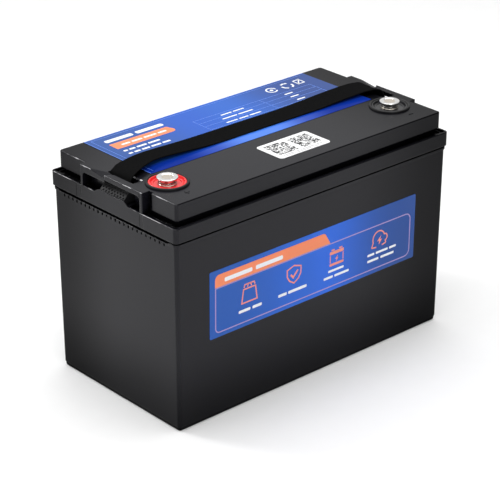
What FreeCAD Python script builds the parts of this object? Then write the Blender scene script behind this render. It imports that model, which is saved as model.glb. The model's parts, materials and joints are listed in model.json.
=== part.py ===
"""Sealed 12 V deep cycle battery in a 330 x 173 mm case, as separate pieces.

Millimetres, +Z up. Origin at the centre of the footprint, on the resting face.
+X runs along the battery from the positive terminal's end to the negative one's,
-Y is the labelled front.
"""
import FreeCAD
import Part
import math
import os

Vector = FreeCAD.Vector
UP = Vector(0, 0, 1)

# ---- case and lid -------------------------------------------------------------
COLLAR_LENGTH = 330.0          # widest part of the battery, along X
COLLAR_WIDTH = 173.0           # and along Y
COLLAR_RADIUS = 4.0
COLLAR_BOTTOM_Z = 182.4
RIM_Z = 195.75                 # top of the collar
RIM_THICKNESS = 2.0
SKIRT_GAP = 0.1                # between the case and the collar's skirt
SKIRT_THICKNESS = 1.7
CASE_LENGTH = COLLAR_LENGTH - 2 * (SKIRT_THICKNESS + SKIRT_GAP)
CASE_WIDTH = COLLAR_WIDTH - 2 * (SKIRT_THICKNESS + SKIRT_GAP)
CASE_RADIUS = 3.5
DRAFT_INSET = 1.2              # the walls lean in by this much at the base
DRAFT_TOP_Z = 178.0            # above here the walls are upright
CASE_RIM_Z = 188.8
CASE_WALL = 3.0
FLOOR_THICKNESS = 4.0
BASE_ROUNDING = 1.5
FOOT_HEIGHT = 4.4              # the lowest band of the walls is set back a little
FOOT_INSET = 0.8
LIP_Z = (177.9, 180.5)         # lip round the case, under the shadow gap below the collar
LIP_REACH = 0.9
LIP_CHAMFER = 0.5
GAP_DEPTH = 1.2                # shadow gap, cut into the wall
GAP_TOP_Z = 182.8
END_GAP_Z = 179.0              # on the ends the gap reaches further down
END_GAP_HALF = 76.0
END_RIB_DEPTH = 2.4
NOTCH_PITCH = 6.0
NOTCH_COUNT = 24
NOTCH_Z = 176.4
NOTCH_SIZE = (2.2, 2.6, 1.0)   # width, height, depth
END_RIB_Y = (-50.0, 0.0, 50.0)

TROUGH_FLOOR_Z = 193.0
TROUGH_UNDERSIDE_Z = 190.0
DECK_TOP_Z = 204.0
DECK_PLATE = 3.0
DECK_WALL = 2.5
SEAM_WIDTH = 0.24              # mould seams down the collar's ends, in line with the bridge posts
SEAM_DEPTH = 0.2
RIDGE_INSET = 4.5              # low ridge along the trough, collar face to ridge
RIDGE_THICKNESS = 0.7
RIDGE_HEIGHT = 1.6
LOCATING_RIB = 2.0             # rib under the lid that drops inside the case
LOCATING_RIB_Z = 184.0

# ---- raised cover ---------------------------------------------------------------
COVER_INSET = 5.9              # cover wall to collar face
COVER_LENGTH = COLLAR_LENGTH - 2 * COVER_INSET
COVER_WIDTH = COLLAR_WIDTH - 2 * COVER_INSET
COVER_RADIUS = 2.8
COVER_BOTTOM_Z = 199.6
COVER_TOP_Z = 215.1
COVER_WALL = 2.4
COVER_PLATE = 3.1
COVER_GAP = 0.1                # cover wall to deck wall
DECK_LENGTH = COVER_LENGTH - 2 * (COVER_WALL + COVER_GAP)
DECK_WIDTH = COVER_WIDTH - 2 * (COVER_WALL + COVER_GAP)
UPSTAND_Z = COVER_TOP_Z - COVER_PLATE - 0.1   # walls of the deck that reach up to the cover's plate

# ---- bridge bars, pockets and slots at the two ends of the cover -------------------
FRAME_HALF_WIDTH = 42.6
POST_WIDTH = 3.2
BAR_INNER_X = 157.9
BAR_UNDERSIDE_Z = 210.8
BAR_LOW_UNDERSIDE_Z = 209.0    # on the scooped side
SCOOP_START_Y = 8.5
SCOOP_END_Y = 30.0
SCOOP_INNER_Y = 11.0
SCOOP_SLANT = 4.8              # how much nearer to the strap the scoop starts on its inner side
SCOOP_DROP = 3.0
POCKET_CORNER = 4.0
SLOT_INNER_X = 147.6
SLOT_Y = (-22.2, 12.9)
WELL_Y = (-22.4, 18.0)         # the well in the deck under the slot
WELL_INNER_X = 147.0
WELL_WALL = 2.0
RELIEF_WIDTH = 6.0             # upright relief slots beside the posts, the front ones open on top
TONGUE_HALF = (23.5, 17.5)     # half length at its foot and at its top
TONGUE_THICKNESS = 1.0
TONGUE_TOP_Z = 199.4
PILLAR_RADIUS = 4.0            # pillars between the deck and the cover
PILLAR_X = (-62.0, 0.0, 62.0)
PILLAR_Y = 52.0
MARK_OFFSET = (1.0, -27.0)     # polarity mark, from its terminal
MARK_ARM = (2.6, 0.6)          # half length and half width of a stroke
MARK_HEIGHT = 0.35

# ---- strap handle ------------------------------------------------------------------
STRAP_WIDTH = 25.0
STRAP_THICKNESS = 1.6
STRAP_REST_GAP = 0.08          # over the label, where the strap lies on it
STRAP_REST_HALF = 48.0         # half the length that lies on the label
STRAP_CREST_X = 132.0          # the strap is highest from here to its bend
STRAP_RISE = 3.3               # from the stretch that lies flat to the crest
STRAP_LEG_X = 155.4            # middle of the upright end
STRAP_BEND = 9.0               # middle radius
STRAP_FOOT_Z = 200.5
STRAP_END_X = 153.5            # beyond here the strap is centred on Y = 0
STRAP_LINE = ((-STRAP_END_X, 0.0), (-128.0, 7.0), (-100.0, 10.4), (0.0, 9.3),
              (105.0, 8.8), (135.0, 6.4), (STRAP_END_X, 0.0))   # middle line from above
ANCHOR_HALF_WIDTH = 16.5
ANCHOR_TOP_Z = 204.9
ANCHOR_BOTTOM_Z = 195.85
ANCHOR_INNER_X = 150.5
RAMP_TOP_X = 158.3
RAMP_FOOT_Z = 199.3
DIMPLE_RADIUS = 1.0
DIMPLE_ROWS = 3
DIMPLE_COLUMNS = 8
DIMPLE_PITCH = 3.9

# ---- terminals ------------------------------------------------------------------------
TERMINAL_X = 134.0
TERMINAL_Y = -39.0
THREAD_RADIUS = 4.0            # M8
THREAD_PITCH = 1.25
THREAD_DEPTH = 0.55
POST_BORE_RADIUS = 4.06
POST_TOP_Z = 215.2
POST_FLANGE_RADIUS = 8.3
POST_FLANGE_Z = 212.2
POST_NECK_RADIUS = 6.5
POST_NECK_Z = 200.9
POST_STUD_Z = 189.0
POST_BORE_Z = 202.4
BOSS_RADIUS = 15.0
BOSS_TOP_Z = 210.5
CUP_RADIUS = 16.7
SEAL_RADII = (16.9, 19.1)
SEAL_TOP_Z = 217.0
CUP_FLOOR_Z = 214.2
CUP_RING_Z = 214.9
CUP_TOP_Z = 216.4
FLAT_WASHER = (4.3, 8.0, 1.2)  # inner radius, outer radius, thickness
LOCK_WASHER = (4.3, 7.2, 1.5)
BOLT_CROWN_RADIUS = 8.6
BOLT_CROWN_HEIGHT = 1.4
BOLT_CROWN_NOTCHES = 8
BOLT_DISC_RADIUS = 9.35
BOLT_DISC_HEIGHT = 1.4
BOLT_RECESS = (5.7, 6.2, 0.5)  # radius at its floor, at its rim, depth
BOLT_SHANK_Z = 203.0
CROWN_NOTCH_DEPTH = 1.6
CROWN_NOTCH_HALF_WIDTH = 1.5

# ---- labels ------------------------------------------------------------------------------
LABEL_THICKNESS = 0.25
LABEL_LIFT = 0.02              # adhesive gap
TOP_LABEL = (-133.0, 133.6, -16.0, 79.2)      # x low, x high, y low, y high
CODE_STICKER = (-27.6, 33.0, -66.4, -32.0)
FRONT_LABEL = (-127.0, 125.5, 78.6, 143.5)    # x low, x high, z low, z high
LABEL_TOP_Z = COVER_TOP_Z + LABEL_LIFT + LABEL_THICKNESS

# ---- cells and what stands on them ----------------------------------------------------------
CELL_THICKNESS = 50.0
CELL_WIDTH = 159.8
CELL_HEIGHT = 118.0
CELL_COUNT = 4
CELL_GAP = 1.0
FOAM_THICKNESS = 3.0
END_PLATE = 3.0
CELL_BOTTOM_Z = FLOOR_THICKNESS + FOAM_THICKNESS
CELL_TOP_Z = CELL_BOTTOM_Z + CELL_HEIGHT
BLOCK_HALF = (CELL_COUNT * CELL_THICKNESS + (CELL_COUNT - 1) * CELL_GAP) / 2
BAND_THICKNESS = 0.4
BAND_HEIGHT = 16.0
BAND_LEVELS = (40.0, 95.0)
CELL_POST_Y = 60.0
CELL_POST_SIZE = (20.0, 16.0, 3.0)
CELL_STUD_RADIUS = 3.0
CELL_STUD_HEIGHT = 12.0
BUSBAR_WIDTH = 16.0
BUSBAR_THICKNESS = 2.0
BUSBAR_OVERHANG = 9.0          # beyond each stud
BUSBAR_HUMP = 3.0
CELL_NUT_FLATS = 10.0
CELL_NUT_FLANGE = (7.0, 1.2)   # radius, thickness
CELL_NUT_HEIGHT = 6.0
VENT_RADIUS = 7.0
VENT_HEIGHT = 0.5
GAP_PAD_HALF = 76.0
END_PLATE_HALF = 78.0
END_FOAM_HALF = 79.0
HEADROOM = 2.0                 # pads and plates stop this far below the cell tops
INSIDE_HALF = (156.4, 79.9)    # clear half length and half width at the foot of the case
BOARD_Z = 146.0                # insulating board over the cells
BOARD_THICKNESS = 1.6
BOARD_HALF = (100.0, 78.0)
SPACER_RADIUS = 5.0
SPACER_X = (30.0, 90.0)
SPACER_Y = 30.0
BMS_Z = 156.0
BMS_THICKNESS = 1.6
BMS_HALF = (75.0, 38.0)
STANDOFF_XY = (70.0, 33.0)
STANDOFF_RADIUS = 3.5
BMS_SCREW = (1.5, 2.8, 6.0)    # shank radius, head radius, length below the board
BMS_SCREW_HEAD = 2.0
MOSFET_HALF = (4.5, 5.0)
MOSFET_HEIGHT = 2.4
MOSFET_X = range(-54, 40, 12)
MOSFET_Y = (-24.0, 24.0)
SINK_X = (-60.0, 40.0)
SINK_HALF_WIDTH = 30.0
SINK_PLATE = 4.0
SINK_HEIGHT = 14.0
FIN_PITCH = 6
FIN_THICKNESS = 2.0
POWER_BLOCK_X = (48.0, 66.0)
POWER_BLOCK_Y = (-14.0, 14.0)
POWER_BLOCK_HALF = 8.0
POWER_BLOCK_HEIGHT = 5.0
CONNECTOR_X = (-72.0, -64.0)
CONNECTOR_HALF = 14.0
CONNECTOR_HEIGHT = 8.0
CABLE_RADIUS = 4.5
HARNESS_RADIUS = 0.9
HARNESS_ENDS = ((-9.0, -46.0), (0.0, 0.0), (9.0, 46.0))   # Y at the connector and at the cells
LUG_THICKNESS = 2.5
LUG_EYE = 8.5
LUG_TONGUE = (15.0, 5.5)       # length, half width
LUG_BARREL = (6.0, 13.0)       # radius, length
LUG_BARREL_START = 13.0
LUG_SOCKET_START = 14.5
LUG_AXIS = 6.0                 # barrel axis above the eye's underside
POST_NUT = (13.0, 6.5)         # across flats, height
PROBE = (3.0, 5.0, 12.0)       # radius, height, X

os.makedirs("parts", exist_ok=True)


# ---- helpers ----------------------------------------------------------------------------------
def save(name, *solids):
    """Write one node, made of one or several separate solids."""
    shape = solids[0] if len(solids) == 1 else Part.makeCompound(list(solids))
    shape.exportStep("parts/%s.step" % name)


def box(x, y, z):
    """A box from its low and high limits along each axis, given in either order."""
    (x0, x1), (y0, y1), (z0, z1) = sorted(x), sorted(y), sorted(z)
    return Part.makeBox(x1 - x0, y1 - y0, z1 - z0, Vector(x0, y0, z0))


def cylinder(radius, z0, z1, x=0.0, y=0.0):
    return Part.makeCylinder(radius, z1 - z0, Vector(x, y, z0))


def rounded_wire(length, width, radius, z, x=0.0, y=0.0):
    """A rectangle with round corners, flat at height z."""
    a, b, s = length / 2, width / 2, radius * (1 - math.sqrt(0.5))
    corners = [(1, 1), (-1, 1), (-1, -1), (1, -1)]
    edges, last = [], None
    for sx, sy in corners:
        ends = [(sx * a, sy * (b - radius)), (sx * (a - radius), sy * b)]
        if sx * sy < 0:
            ends.reverse()
        start, end = [Vector(x + px, y + py, z) for px, py in ends]
        middle = Vector(x + sx * (a - s), y + sy * (b - s), z)
        if last is not None:
            edges.append(Part.makeLine(last, start))
        edges.append(Part.Arc(start, middle, end).toShape())
        last = end
    edges.append(Part.makeLine(last, edges[0].Vertexes[0].Point))
    return Part.Wire(edges)


def slab(length, width, radius, z0, z1, x=0.0, y=0.0):
    """A plate with round corners."""
    return Part.Face(rounded_wire(length, width, radius, z0, x, y)).extrude(Vector(0, 0, z1 - z0))


def ring(outer, inner, z0, z1):
    """A rectangular frame; outer and inner are (length, width, radius)."""
    return slab(*outer, z0, z1).cut(slab(*inner, z0 - 1, z1 + 1))


def turned(profile, x=0.0, y=0.0):
    """A solid of revolution about Z from its (radius, z) outline."""
    points = [Vector(r, 0, z) for r, z in profile]
    face = Part.Face(Part.makePolygon(points + points[:1]))
    solid = face.revolve(Vector(0, 0, 0), UP, 360)
    solid.translate(Vector(x, y, 0))
    return solid


def tube_ring(inner, outer, z0, z1, x=0.0, y=0.0):
    return cylinder(outer, z0, z1, x, y).cut(cylinder(inner, z0 - 1, z1 + 1, x, y))


def prism_xz(points, y0, y1):
    """A straight prism along Y from an outline in the XZ plane."""
    corners = [Vector(px, y0, pz) for px, pz in points]
    return Part.Face(Part.makePolygon(corners + corners[:1])).extrude(Vector(0, y1 - y0, 0))


def prism_yz(points, x0, x1):
    """A straight prism along X from an outline in the YZ plane."""
    corners = [Vector(x0, py, pz) for py, pz in points]
    return Part.Face(Part.makePolygon(corners + corners[:1])).extrude(Vector(x1 - x0, 0, 0))


def hexagon(across_flats, z0, z1, x, y):
    radius = across_flats / math.sqrt(3)
    corners = [Vector(x + radius * math.cos(math.radians(a)), y + radius * math.sin(math.radians(a)), z0)
               for a in range(0, 360, 60)]
    return Part.Face(Part.makePolygon(corners + corners[:1])).extrude(Vector(0, 0, z1 - z0))


def edges_at(shape, z):
    """The edges that lie flat at height z."""
    return [e for e in shape.Edges if all(abs(v.Point.z - z) < 1e-6 for v in e.Vertexes)]


def cable(points, radius):
    """A round cable along straight runs joined by tangent arcs, as wide as the runs allow."""
    points = [Vector(*p) for p in points]
    edges, start = [], points[0]
    for before, corner, after in zip(points, points[1:], points[2:]):
        u, v = (before - corner).normalize(), (after - corner).normalize()
        turn = math.pi - u.getAngle(v)
        shorter = min((before - corner).Length, (after - corner).Length)
        bend = 0.45 * shorter / math.tan(turn / 2)
        reach = 0.45 * shorter
        first, second = corner + u * reach, corner + v * reach
        bisector = (u + v).normalize()
        centre = corner + bisector * (bend / math.cos(turn / 2))
        middle = centre - bisector * bend
        edges.append(Part.makeLine(start, first))
        edges.append(Part.Arc(first, middle, second).toShape())
        start = second
        print("bend radius %.1f" % bend)
    edges.append(Part.makeLine(start, points[-1]))
    path = Part.Wire(edges)
    section = Part.Wire(Part.makeCircle(radius, points[0], points[1] - points[0]))
    solid = path.makePipeShell([section], True, True)
    error = solid.Volume / (math.pi * radius ** 2 * path.Length) - 1
    print("cable length %.1f, volume error %.4f" % (path.Length, error))
    return solid


# ---- enclosure -----------------------------------------------------------------------------------
def shadow_gap():
    """The groove round the case just under the collar, deeper downwards on the two ends."""
    outer = (CASE_LENGTH + 20, CASE_WIDTH + 20, CASE_RADIUS)
    inner = (CASE_LENGTH - 2 * GAP_DEPTH, CASE_WIDTH - 2 * GAP_DEPTH, CASE_RADIUS - GAP_DEPTH)
    groove = ring(outer, inner, LIP_Z[1], GAP_TOP_Z)
    x = CASE_LENGTH / 2
    ends = [box((side * (x - GAP_DEPTH), side * (x + 10)), (-END_GAP_HALF, END_GAP_HALF),
                (END_GAP_Z, LIP_Z[1] + 0.5)) for side in (-1, 1)]
    return groove.fuse(ends)


def case_box():
    """The tapered box, open at the top."""
    base_length, base_width = CASE_LENGTH - 2 * DRAFT_INSET, CASE_WIDTH - 2 * DRAFT_INSET
    walls = Part.makeLoft([rounded_wire(base_length, base_width, CASE_RADIUS, 0),
                           rounded_wire(CASE_LENGTH, CASE_WIDTH, CASE_RADIUS, DRAFT_TOP_Z)], True, True)
    foot = slab(base_length - 2 * FOOT_INSET, base_width - 2 * FOOT_INSET, CASE_RADIUS - FOOT_INSET,
                0, FLOOR_THICKNESS + 2)
    foot = foot.makeFillet(BASE_ROUNDING, edges_at(foot, 0))
    walls = walls.cut(box((-base_length, base_length), (-base_width, base_width), (-1, FOOT_HEIGHT)))
    lip = slab(CASE_LENGTH + 2 * LIP_REACH, CASE_WIDTH + 2 * LIP_REACH, CASE_RADIUS + LIP_REACH, *LIP_Z)
    lip = lip.makeChamfer(LIP_CHAMFER, edges_at(lip, LIP_Z[0]))
    upper = slab(CASE_LENGTH, CASE_WIDTH, CASE_RADIUS, DRAFT_TOP_Z, CASE_RIM_Z)
    body = walls.fuse([foot, upper, lip]).cut(shadow_gap())
    inner, radius = 2 * CASE_WALL, CASE_RADIUS - CASE_WALL
    hollow = Part.makeLoft([rounded_wire(base_length - inner, base_width - inner, radius, FLOOR_THICKNESS),
                            rounded_wire(CASE_LENGTH - inner, CASE_WIDTH - inner, radius, DRAFT_TOP_Z)],
                           True, True)
    hollow = hollow.fuse(slab(CASE_LENGTH - inner, CASE_WIDTH - inner, radius, DRAFT_TOP_Z, CASE_RIM_Z + 1))
    body = body.cut(hollow)
    rib_x = base_length / 2 - CASE_WALL
    for side in (-1, 1):
        for y in END_RIB_Y:
            rib = box((side * (rib_x + 1), side * (rib_x - END_RIB_DEPTH)), (y - 1, y + 1),
                      (FLOOR_THICKNESS - 1, CELL_TOP_Z))
            body = body.fuse(rib)
    width, height, depth = NOTCH_SIZE
    notches = []
    face_x = CASE_LENGTH / 2
    for side in (-1, 1):
        for index in range(NOTCH_COUNT):
            y = (index - (NOTCH_COUNT - 1) / 2) * NOTCH_PITCH
            notches.append(box((side * (face_x - depth), side * (face_x + 1)),
                               (y - width / 2, y + width / 2), (NOTCH_Z - height / 2, NOTCH_Z + height / 2)))
    return body.cut(Part.makeCompound(notches)).removeSplitter()


def lid_base():
    """The collar that caps the box, with the trough, the deck, the strap wells and the bosses."""
    body = slab(COLLAR_LENGTH, COLLAR_WIDTH, COLLAR_RADIUS, COLLAR_BOTTOM_Z, RIM_Z)
    body = body.makeFillet(0.6, edges_at(body, RIM_Z))
    skirt = 2 * SKIRT_THICKNESS
    body = body.cut(slab(COLLAR_LENGTH - skirt, COLLAR_WIDTH - skirt, CASE_RADIUS + 0.1,
                         COLLAR_BOTTOM_Z - 1, TROUGH_UNDERSIDE_Z))
    rim = 2 * RIM_THICKNESS
    body = body.cut(slab(COLLAR_LENGTH - rim, COLLAR_WIDTH - rim, COLLAR_RADIUS - RIM_THICKNESS,
                         TROUGH_FLOOR_Z, RIM_Z + 1))
    body = body.fuse(slab(DECK_LENGTH, DECK_WIDTH, 2.0, TROUGH_UNDERSIDE_Z, DECK_TOP_Z))
    hollow = slab(DECK_LENGTH - 2 * DECK_WALL, DECK_WIDTH - 2 * DECK_WALL, 1.0,
                  TROUGH_UNDERSIDE_Z - 1, DECK_TOP_Z - DECK_PLATE)
    inner_x = DECK_LENGTH / 2
    housing_y = (WELL_Y[0] - WELL_WALL, WELL_Y[1] + WELL_WALL)
    wells, additions = [], []
    for side in (-1, 1):
        hollow = hollow.cut(box((side * (WELL_INNER_X - WELL_WALL), side * (inner_x + 1)), housing_y,
                                (TROUGH_UNDERSIDE_Z, DECK_TOP_Z)))
        additions.append(box((side * (WELL_INNER_X - WELL_WALL), side * inner_x), housing_y,
                             (DECK_TOP_Z - 1, UPSTAND_Z)))
        additions.append(box((side * (inner_x - DECK_WALL), side * inner_x),
                             (-FRAME_HALF_WIDTH, FRAME_HALF_WIDTH), (DECK_TOP_Z - 1, UPSTAND_Z)))
        wells.append(box((side * WELL_INNER_X, side * (inner_x + 1)), WELL_Y,
                         (TROUGH_FLOOR_Z, UPSTAND_Z + 1)))
    body = body.cut(hollow).fuse(additions).cut(Part.makeCompound(wells))
    collar_x = COLLAR_LENGTH / 2
    rim_x = collar_x - RIM_THICKNESS
    for side in (-1, 1):
        seat = box((side * WELL_INNER_X, side * rim_x), WELL_Y, (TROUGH_FLOOR_Z, RIM_Z))
        low, high = TONGUE_HALF
        tongue = prism_yz([(-low, RIM_Z - 1), (low, RIM_Z - 1), (low, RIM_Z), (high, TONGUE_TOP_Z),
                           (-high, TONGUE_TOP_Z), (-low, RIM_Z)], side * collar_x,
                          side * (collar_x - TONGUE_THICKNESS))
        body = body.fuse([seat, tongue])
        for y in (-FRAME_HALF_WIDTH, FRAME_HALF_WIDTH):
            body = body.cut(box((side * (collar_x - SEAM_DEPTH), side * (collar_x + 1)),
                                (y - SEAM_WIDTH / 2, y + SEAM_WIDTH / 2), (COLLAR_BOTTOM_Z - 1, RIM_Z + 1)))
    outer, inner = 2 * RIDGE_INSET, 2 * (RIDGE_INSET + RIDGE_THICKNESS)
    ridge = ring((COLLAR_LENGTH - outer, COLLAR_WIDTH - outer, 3.0),
                 (COLLAR_LENGTH - inner, COLLAR_WIDTH - inner, 2.4),
                 TROUGH_FLOOR_Z - 0.5, TROUGH_FLOOR_Z + RIDGE_HEIGHT)
    ridge = ridge.cut(box((-COLLAR_LENGTH, COLLAR_LENGTH), (-FRAME_HALF_WIDTH - 0.5, FRAME_HALF_WIDTH + 0.5),
                          (TROUGH_FLOOR_Z - 1, RIM_Z + 1)))
    outer = 2 * (SKIRT_THICKNESS + SKIRT_GAP + CASE_WALL + 0.2)
    inner = outer + 2 * LOCATING_RIB
    rib = ring((COLLAR_LENGTH - outer, COLLAR_WIDTH - outer, 2.0),
               (COLLAR_LENGTH - inner, COLLAR_WIDTH - inner, 1.5), LOCATING_RIB_Z, TROUGH_UNDERSIDE_Z + 0.5)
    body = body.fuse([ridge, rib])
    for side in (-1, 1):
        x = side * TERMINAL_X
        body = body.fuse(cylinder(BOSS_RADIUS, DECK_TOP_Z - DECK_PLATE, BOSS_TOP_Z, x, TERMINAL_Y))
        body = body.cut(cylinder(POST_NECK_RADIUS + 0.1, DECK_TOP_Z - 5, BOSS_TOP_Z + 1, x, TERMINAL_Y))
    return body.removeSplitter()


def pocket_cutter(side):
    """The opening under one bridge bar, with round upper corners."""
    limit = FRAME_HALF_WIDTH - POST_WIDTH
    x = (side * (COVER_LENGTH / 2 - COVER_WALL - 0.1), side * (COLLAR_LENGTH / 2 + 1))
    parts = []
    for y_end, top in ((-limit, BAR_UNDERSIDE_Z), (limit, BAR_LOW_UNDERSIDE_Z)):
        block = box(x, (y_end, SCOOP_START_Y), (RIM_Z - 3, top))
        corner = [e for e in edges_at(block, top)
                  if all(abs(v.Point.y - y_end) < 1e-6 for v in e.Vertexes)]
        parts.append(block.makeFillet(POCKET_CORNER, corner))
    return parts[0].fuse(parts[1])


def scoop_cutter(side):
    """A shallow sloping scoop in the bar's top, behind the strap."""
    outer_x = COLLAR_LENGTH / 2
    a = Vector(side * outer_x, SCOOP_END_Y, COVER_TOP_Z)
    b = Vector(side * BAR_INNER_X, SCOOP_INNER_Y, COVER_TOP_Z)
    low = Vector(side * outer_x, SCOOP_START_Y, COVER_TOP_Z - SCOOP_DROP)
    normal = (b - a).cross(low - a).normalize()
    if normal.z < 0:
        normal = normal * -1
    plane = Part.makePlane(60, 60, a, normal)
    plane.translate(a - plane.CenterOfMass)
    wedge = plane.extrude(normal * 8)
    back_y, inner_x = SCOOP_END_Y + 2, BAR_INNER_X - 1.5
    corners = [Vector(side * x, y, COVER_TOP_Z - 5) for x, y in
               ((outer_x + 2, back_y), (outer_x + 2, SCOOP_START_Y), (outer_x, SCOOP_START_Y),
                (BAR_INNER_X, SCOOP_START_Y - SCOOP_SLANT), (inner_x, SCOOP_START_Y - SCOOP_SLANT),
                (inner_x, back_y))]
    return wedge.common(Part.Face(Part.makePolygon(corners + corners[:1])).extrude(UP * 7))


def slot_cutter(side):
    """The strap's slot through the cover, with its inner lip rounded over."""
    lip = 2.0
    lip_x, lip_z = side * (SLOT_INNER_X - lip), COVER_TOP_Z - lip
    opening = box((side * SLOT_INNER_X, side * BAR_INNER_X), SLOT_Y, (COVER_TOP_Z - 6, COVER_TOP_Z + 1))
    corner = box((lip_x, side * SLOT_INNER_X), SLOT_Y, (lip_z, COVER_TOP_Z + 1))
    roller = Part.makeCylinder(lip, 60, Vector(lip_x, SLOT_Y[0] - 5, lip_z), Vector(0, 1, 0))
    return opening.fuse(corner.cut(roller))


def top_cover():
    """The raised cover with a bridge bar, a pocket and a strap slot at each end."""
    shell = slab(COVER_LENGTH, COVER_WIDTH, COVER_RADIUS, COVER_BOTTOM_Z, COVER_TOP_Z)
    shell = shell.makeFillet(1.0, edges_at(shell, COVER_TOP_Z))
    wall = 2 * COVER_WALL
    shell = shell.cut(slab(COVER_LENGTH - wall, COVER_WIDTH - wall, COVER_RADIUS - COVER_WALL,
                           COVER_BOTTOM_Z - 1, COVER_TOP_Z - COVER_PLATE))
    outer_x = COLLAR_LENGTH / 2
    cutters = []
    for side in (-1, 1):
        frame = box((side * BAR_INNER_X, side * outer_x), (-FRAME_HALF_WIDTH, FRAME_HALF_WIDTH),
                    (RIM_Z, COVER_TOP_Z))
        outer_edges = [e for e in frame.Edges
                       if all(abs(abs(v.Point.x) - outer_x) < 1e-6 for v in e.Vertexes)
                       and any(abs(v.Point.z - COVER_TOP_Z) < 1e-6 for v in e.Vertexes)]
        shell = shell.fuse(frame.makeFillet(0.8, outer_edges))
        cutters += [pocket_cutter(side), slot_cutter(side), scoop_cutter(side)]
        wall_x = COVER_LENGTH / 2
        for edge, top in ((-1, COVER_TOP_Z + 1), (1, COVER_TOP_Z - COVER_PLATE)):
            y = (edge * FRAME_HALF_WIDTH, edge * (FRAME_HALF_WIDTH + RELIEF_WIDTH))
            cutters.append(box((side * (wall_x - COVER_WALL - 0.1), side * (wall_x + 1)), y,
                               (COVER_BOTTOM_Z - 1, top)))
        cutters.append(cylinder(CUP_RADIUS + 0.1, COVER_TOP_Z - 10, COVER_TOP_Z + 1,
                                side * TERMINAL_X, TERMINAL_Y))
    body = shell
    for cutter in cutters:
        body = body.cut(cutter)
    for x, y in [(x, side * PILLAR_Y) for x in PILLAR_X for side in (-1, 1)]:
        body = body.fuse(cylinder(PILLAR_RADIUS, DECK_TOP_Z, COVER_TOP_Z - 1, x, y))
    return body.fuse(polarity_marks()).removeSplitter()


def polarity_marks():
    """A raised plus beside the positive terminal and a raised minus beside the negative one."""
    x, y = TERMINAL_X + MARK_OFFSET[0], TERMINAL_Y + MARK_OFFSET[1]
    long, short = MARK_ARM
    z = (COVER_TOP_Z - 1, COVER_TOP_Z + MARK_HEIGHT)
    return [box((-x - long, -x + long), (y - short, y + short), z),
            box((-x - short, -x + short), (y - long, y + long), z),
            box((x - long, x + long), (y - short, y + short), z)]


def lid_seal():
    """The bead of sealant between the box's rim and the underside of the lid."""
    outer, inner = 0.4, 2 * CASE_WALL - 0.2
    return ring((CASE_LENGTH - outer, CASE_WIDTH - outer, CASE_RADIUS),
                (CASE_LENGTH - inner, CASE_WIDTH - inner, 2.0), CASE_RIM_Z, TROUGH_UNDERSIDE_Z)


# ---- strap handle ----------------------------------------------------------------------------------
def strap_half():
    """The right half of the strap, wider than the webbing, from the middle to the foot of its leg."""
    half = STRAP_THICKNESS / 2
    rest_z = LABEL_TOP_Z + STRAP_REST_GAP + half
    crest_z = rest_z + STRAP_RISE
    run = STRAP_CREST_X - STRAP_REST_HALF
    sweep = (run ** 2 + STRAP_RISE ** 2) / (4 * STRAP_RISE)
    tilt = math.asin(run / 2 / sweep)
    bend_x = STRAP_LEG_X - STRAP_BEND

    def surface(offset):
        """The edges of the face that lies offset above the middle of the webbing."""
        valley = (STRAP_REST_HALF, rest_z + sweep, offset - sweep, (0, -tilt / 2, -tilt))
        hill = (STRAP_CREST_X, crest_z - sweep, offset + sweep, (-tilt, -tilt / 2, 0))
        bend = (bend_x, crest_z - STRAP_BEND, offset + STRAP_BEND, (0, math.pi / 4, math.pi / 2))
        arcs = [[Vector(x + radius * math.sin(angle), 0, z + radius * math.cos(angle)) for angle in angles]
                for x, z, radius, angles in (valley, hill, bend)]
        edges = [Part.Arc(*arc).toShape() for arc in arcs]
        first, last = Vector(0, 0, rest_z + offset), Vector(STRAP_LEG_X + offset, 0, STRAP_FOOT_Z)
        runs = [Part.makeLine(a, b) for a, b in ((first, arcs[0][0]), (arcs[1][2], arcs[2][0]),
                                                 (arcs[2][2], last))]
        return [runs[0], edges[0], edges[1], runs[1], edges[2], runs[2]], first, last

    top, top_first, top_last = surface(half)
    under, under_first, under_last = surface(-half)
    wire = Part.Wire(top + [Part.makeLine(top_last, under_last)] + under[::-1]
                     + [Part.makeLine(under_first, top_first)])
    solid = Part.Face(wire).extrude(Vector(0, 2 * STRAP_WIDTH, 0))
    solid.translate(Vector(0, -STRAP_WIDTH, 0))
    return solid


def strap_strip():
    """A tall prism over the strip of lid that the strap covers, which bows back in the middle."""
    curve = Part.BSplineCurve()
    curve.interpolate(Points=[Vector(x, y - STRAP_WIDTH / 2, 0) for x, y in STRAP_LINE],
                      InitialTangent=Vector(1, 0, 0), FinalTangent=Vector(1, 0, 0))
    front = curve.toShape()
    back = front.translated(Vector(0, STRAP_WIDTH, 0))
    low, high, reach = -STRAP_WIDTH / 2, STRAP_WIDTH / 2, COLLAR_LENGTH / 2

    def end(side):
        corners = [Vector(side * x, y, 0) for x, y in ((STRAP_END_X, low), (reach, low), (reach, high),
                                                       (STRAP_END_X, high))]
        return [Part.makeLine(a, b) for a, b in zip(corners, corners[1:])]

    wire = Part.Wire(Part.sortEdges([front, back] + end(-1) + end(1))[0])
    return Part.Face(wire).extrude(Vector(0, 0, 2 * COVER_TOP_Z))


def handle_strap():
    """Flat webbing that lies along the lid and turns down through both slots."""
    right = strap_half()
    left = right.mirror(Vector(0, 0, 0), Vector(1, 0, 0))
    return right.fuse(left).common(strap_strip()).removeSplitter()


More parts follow.
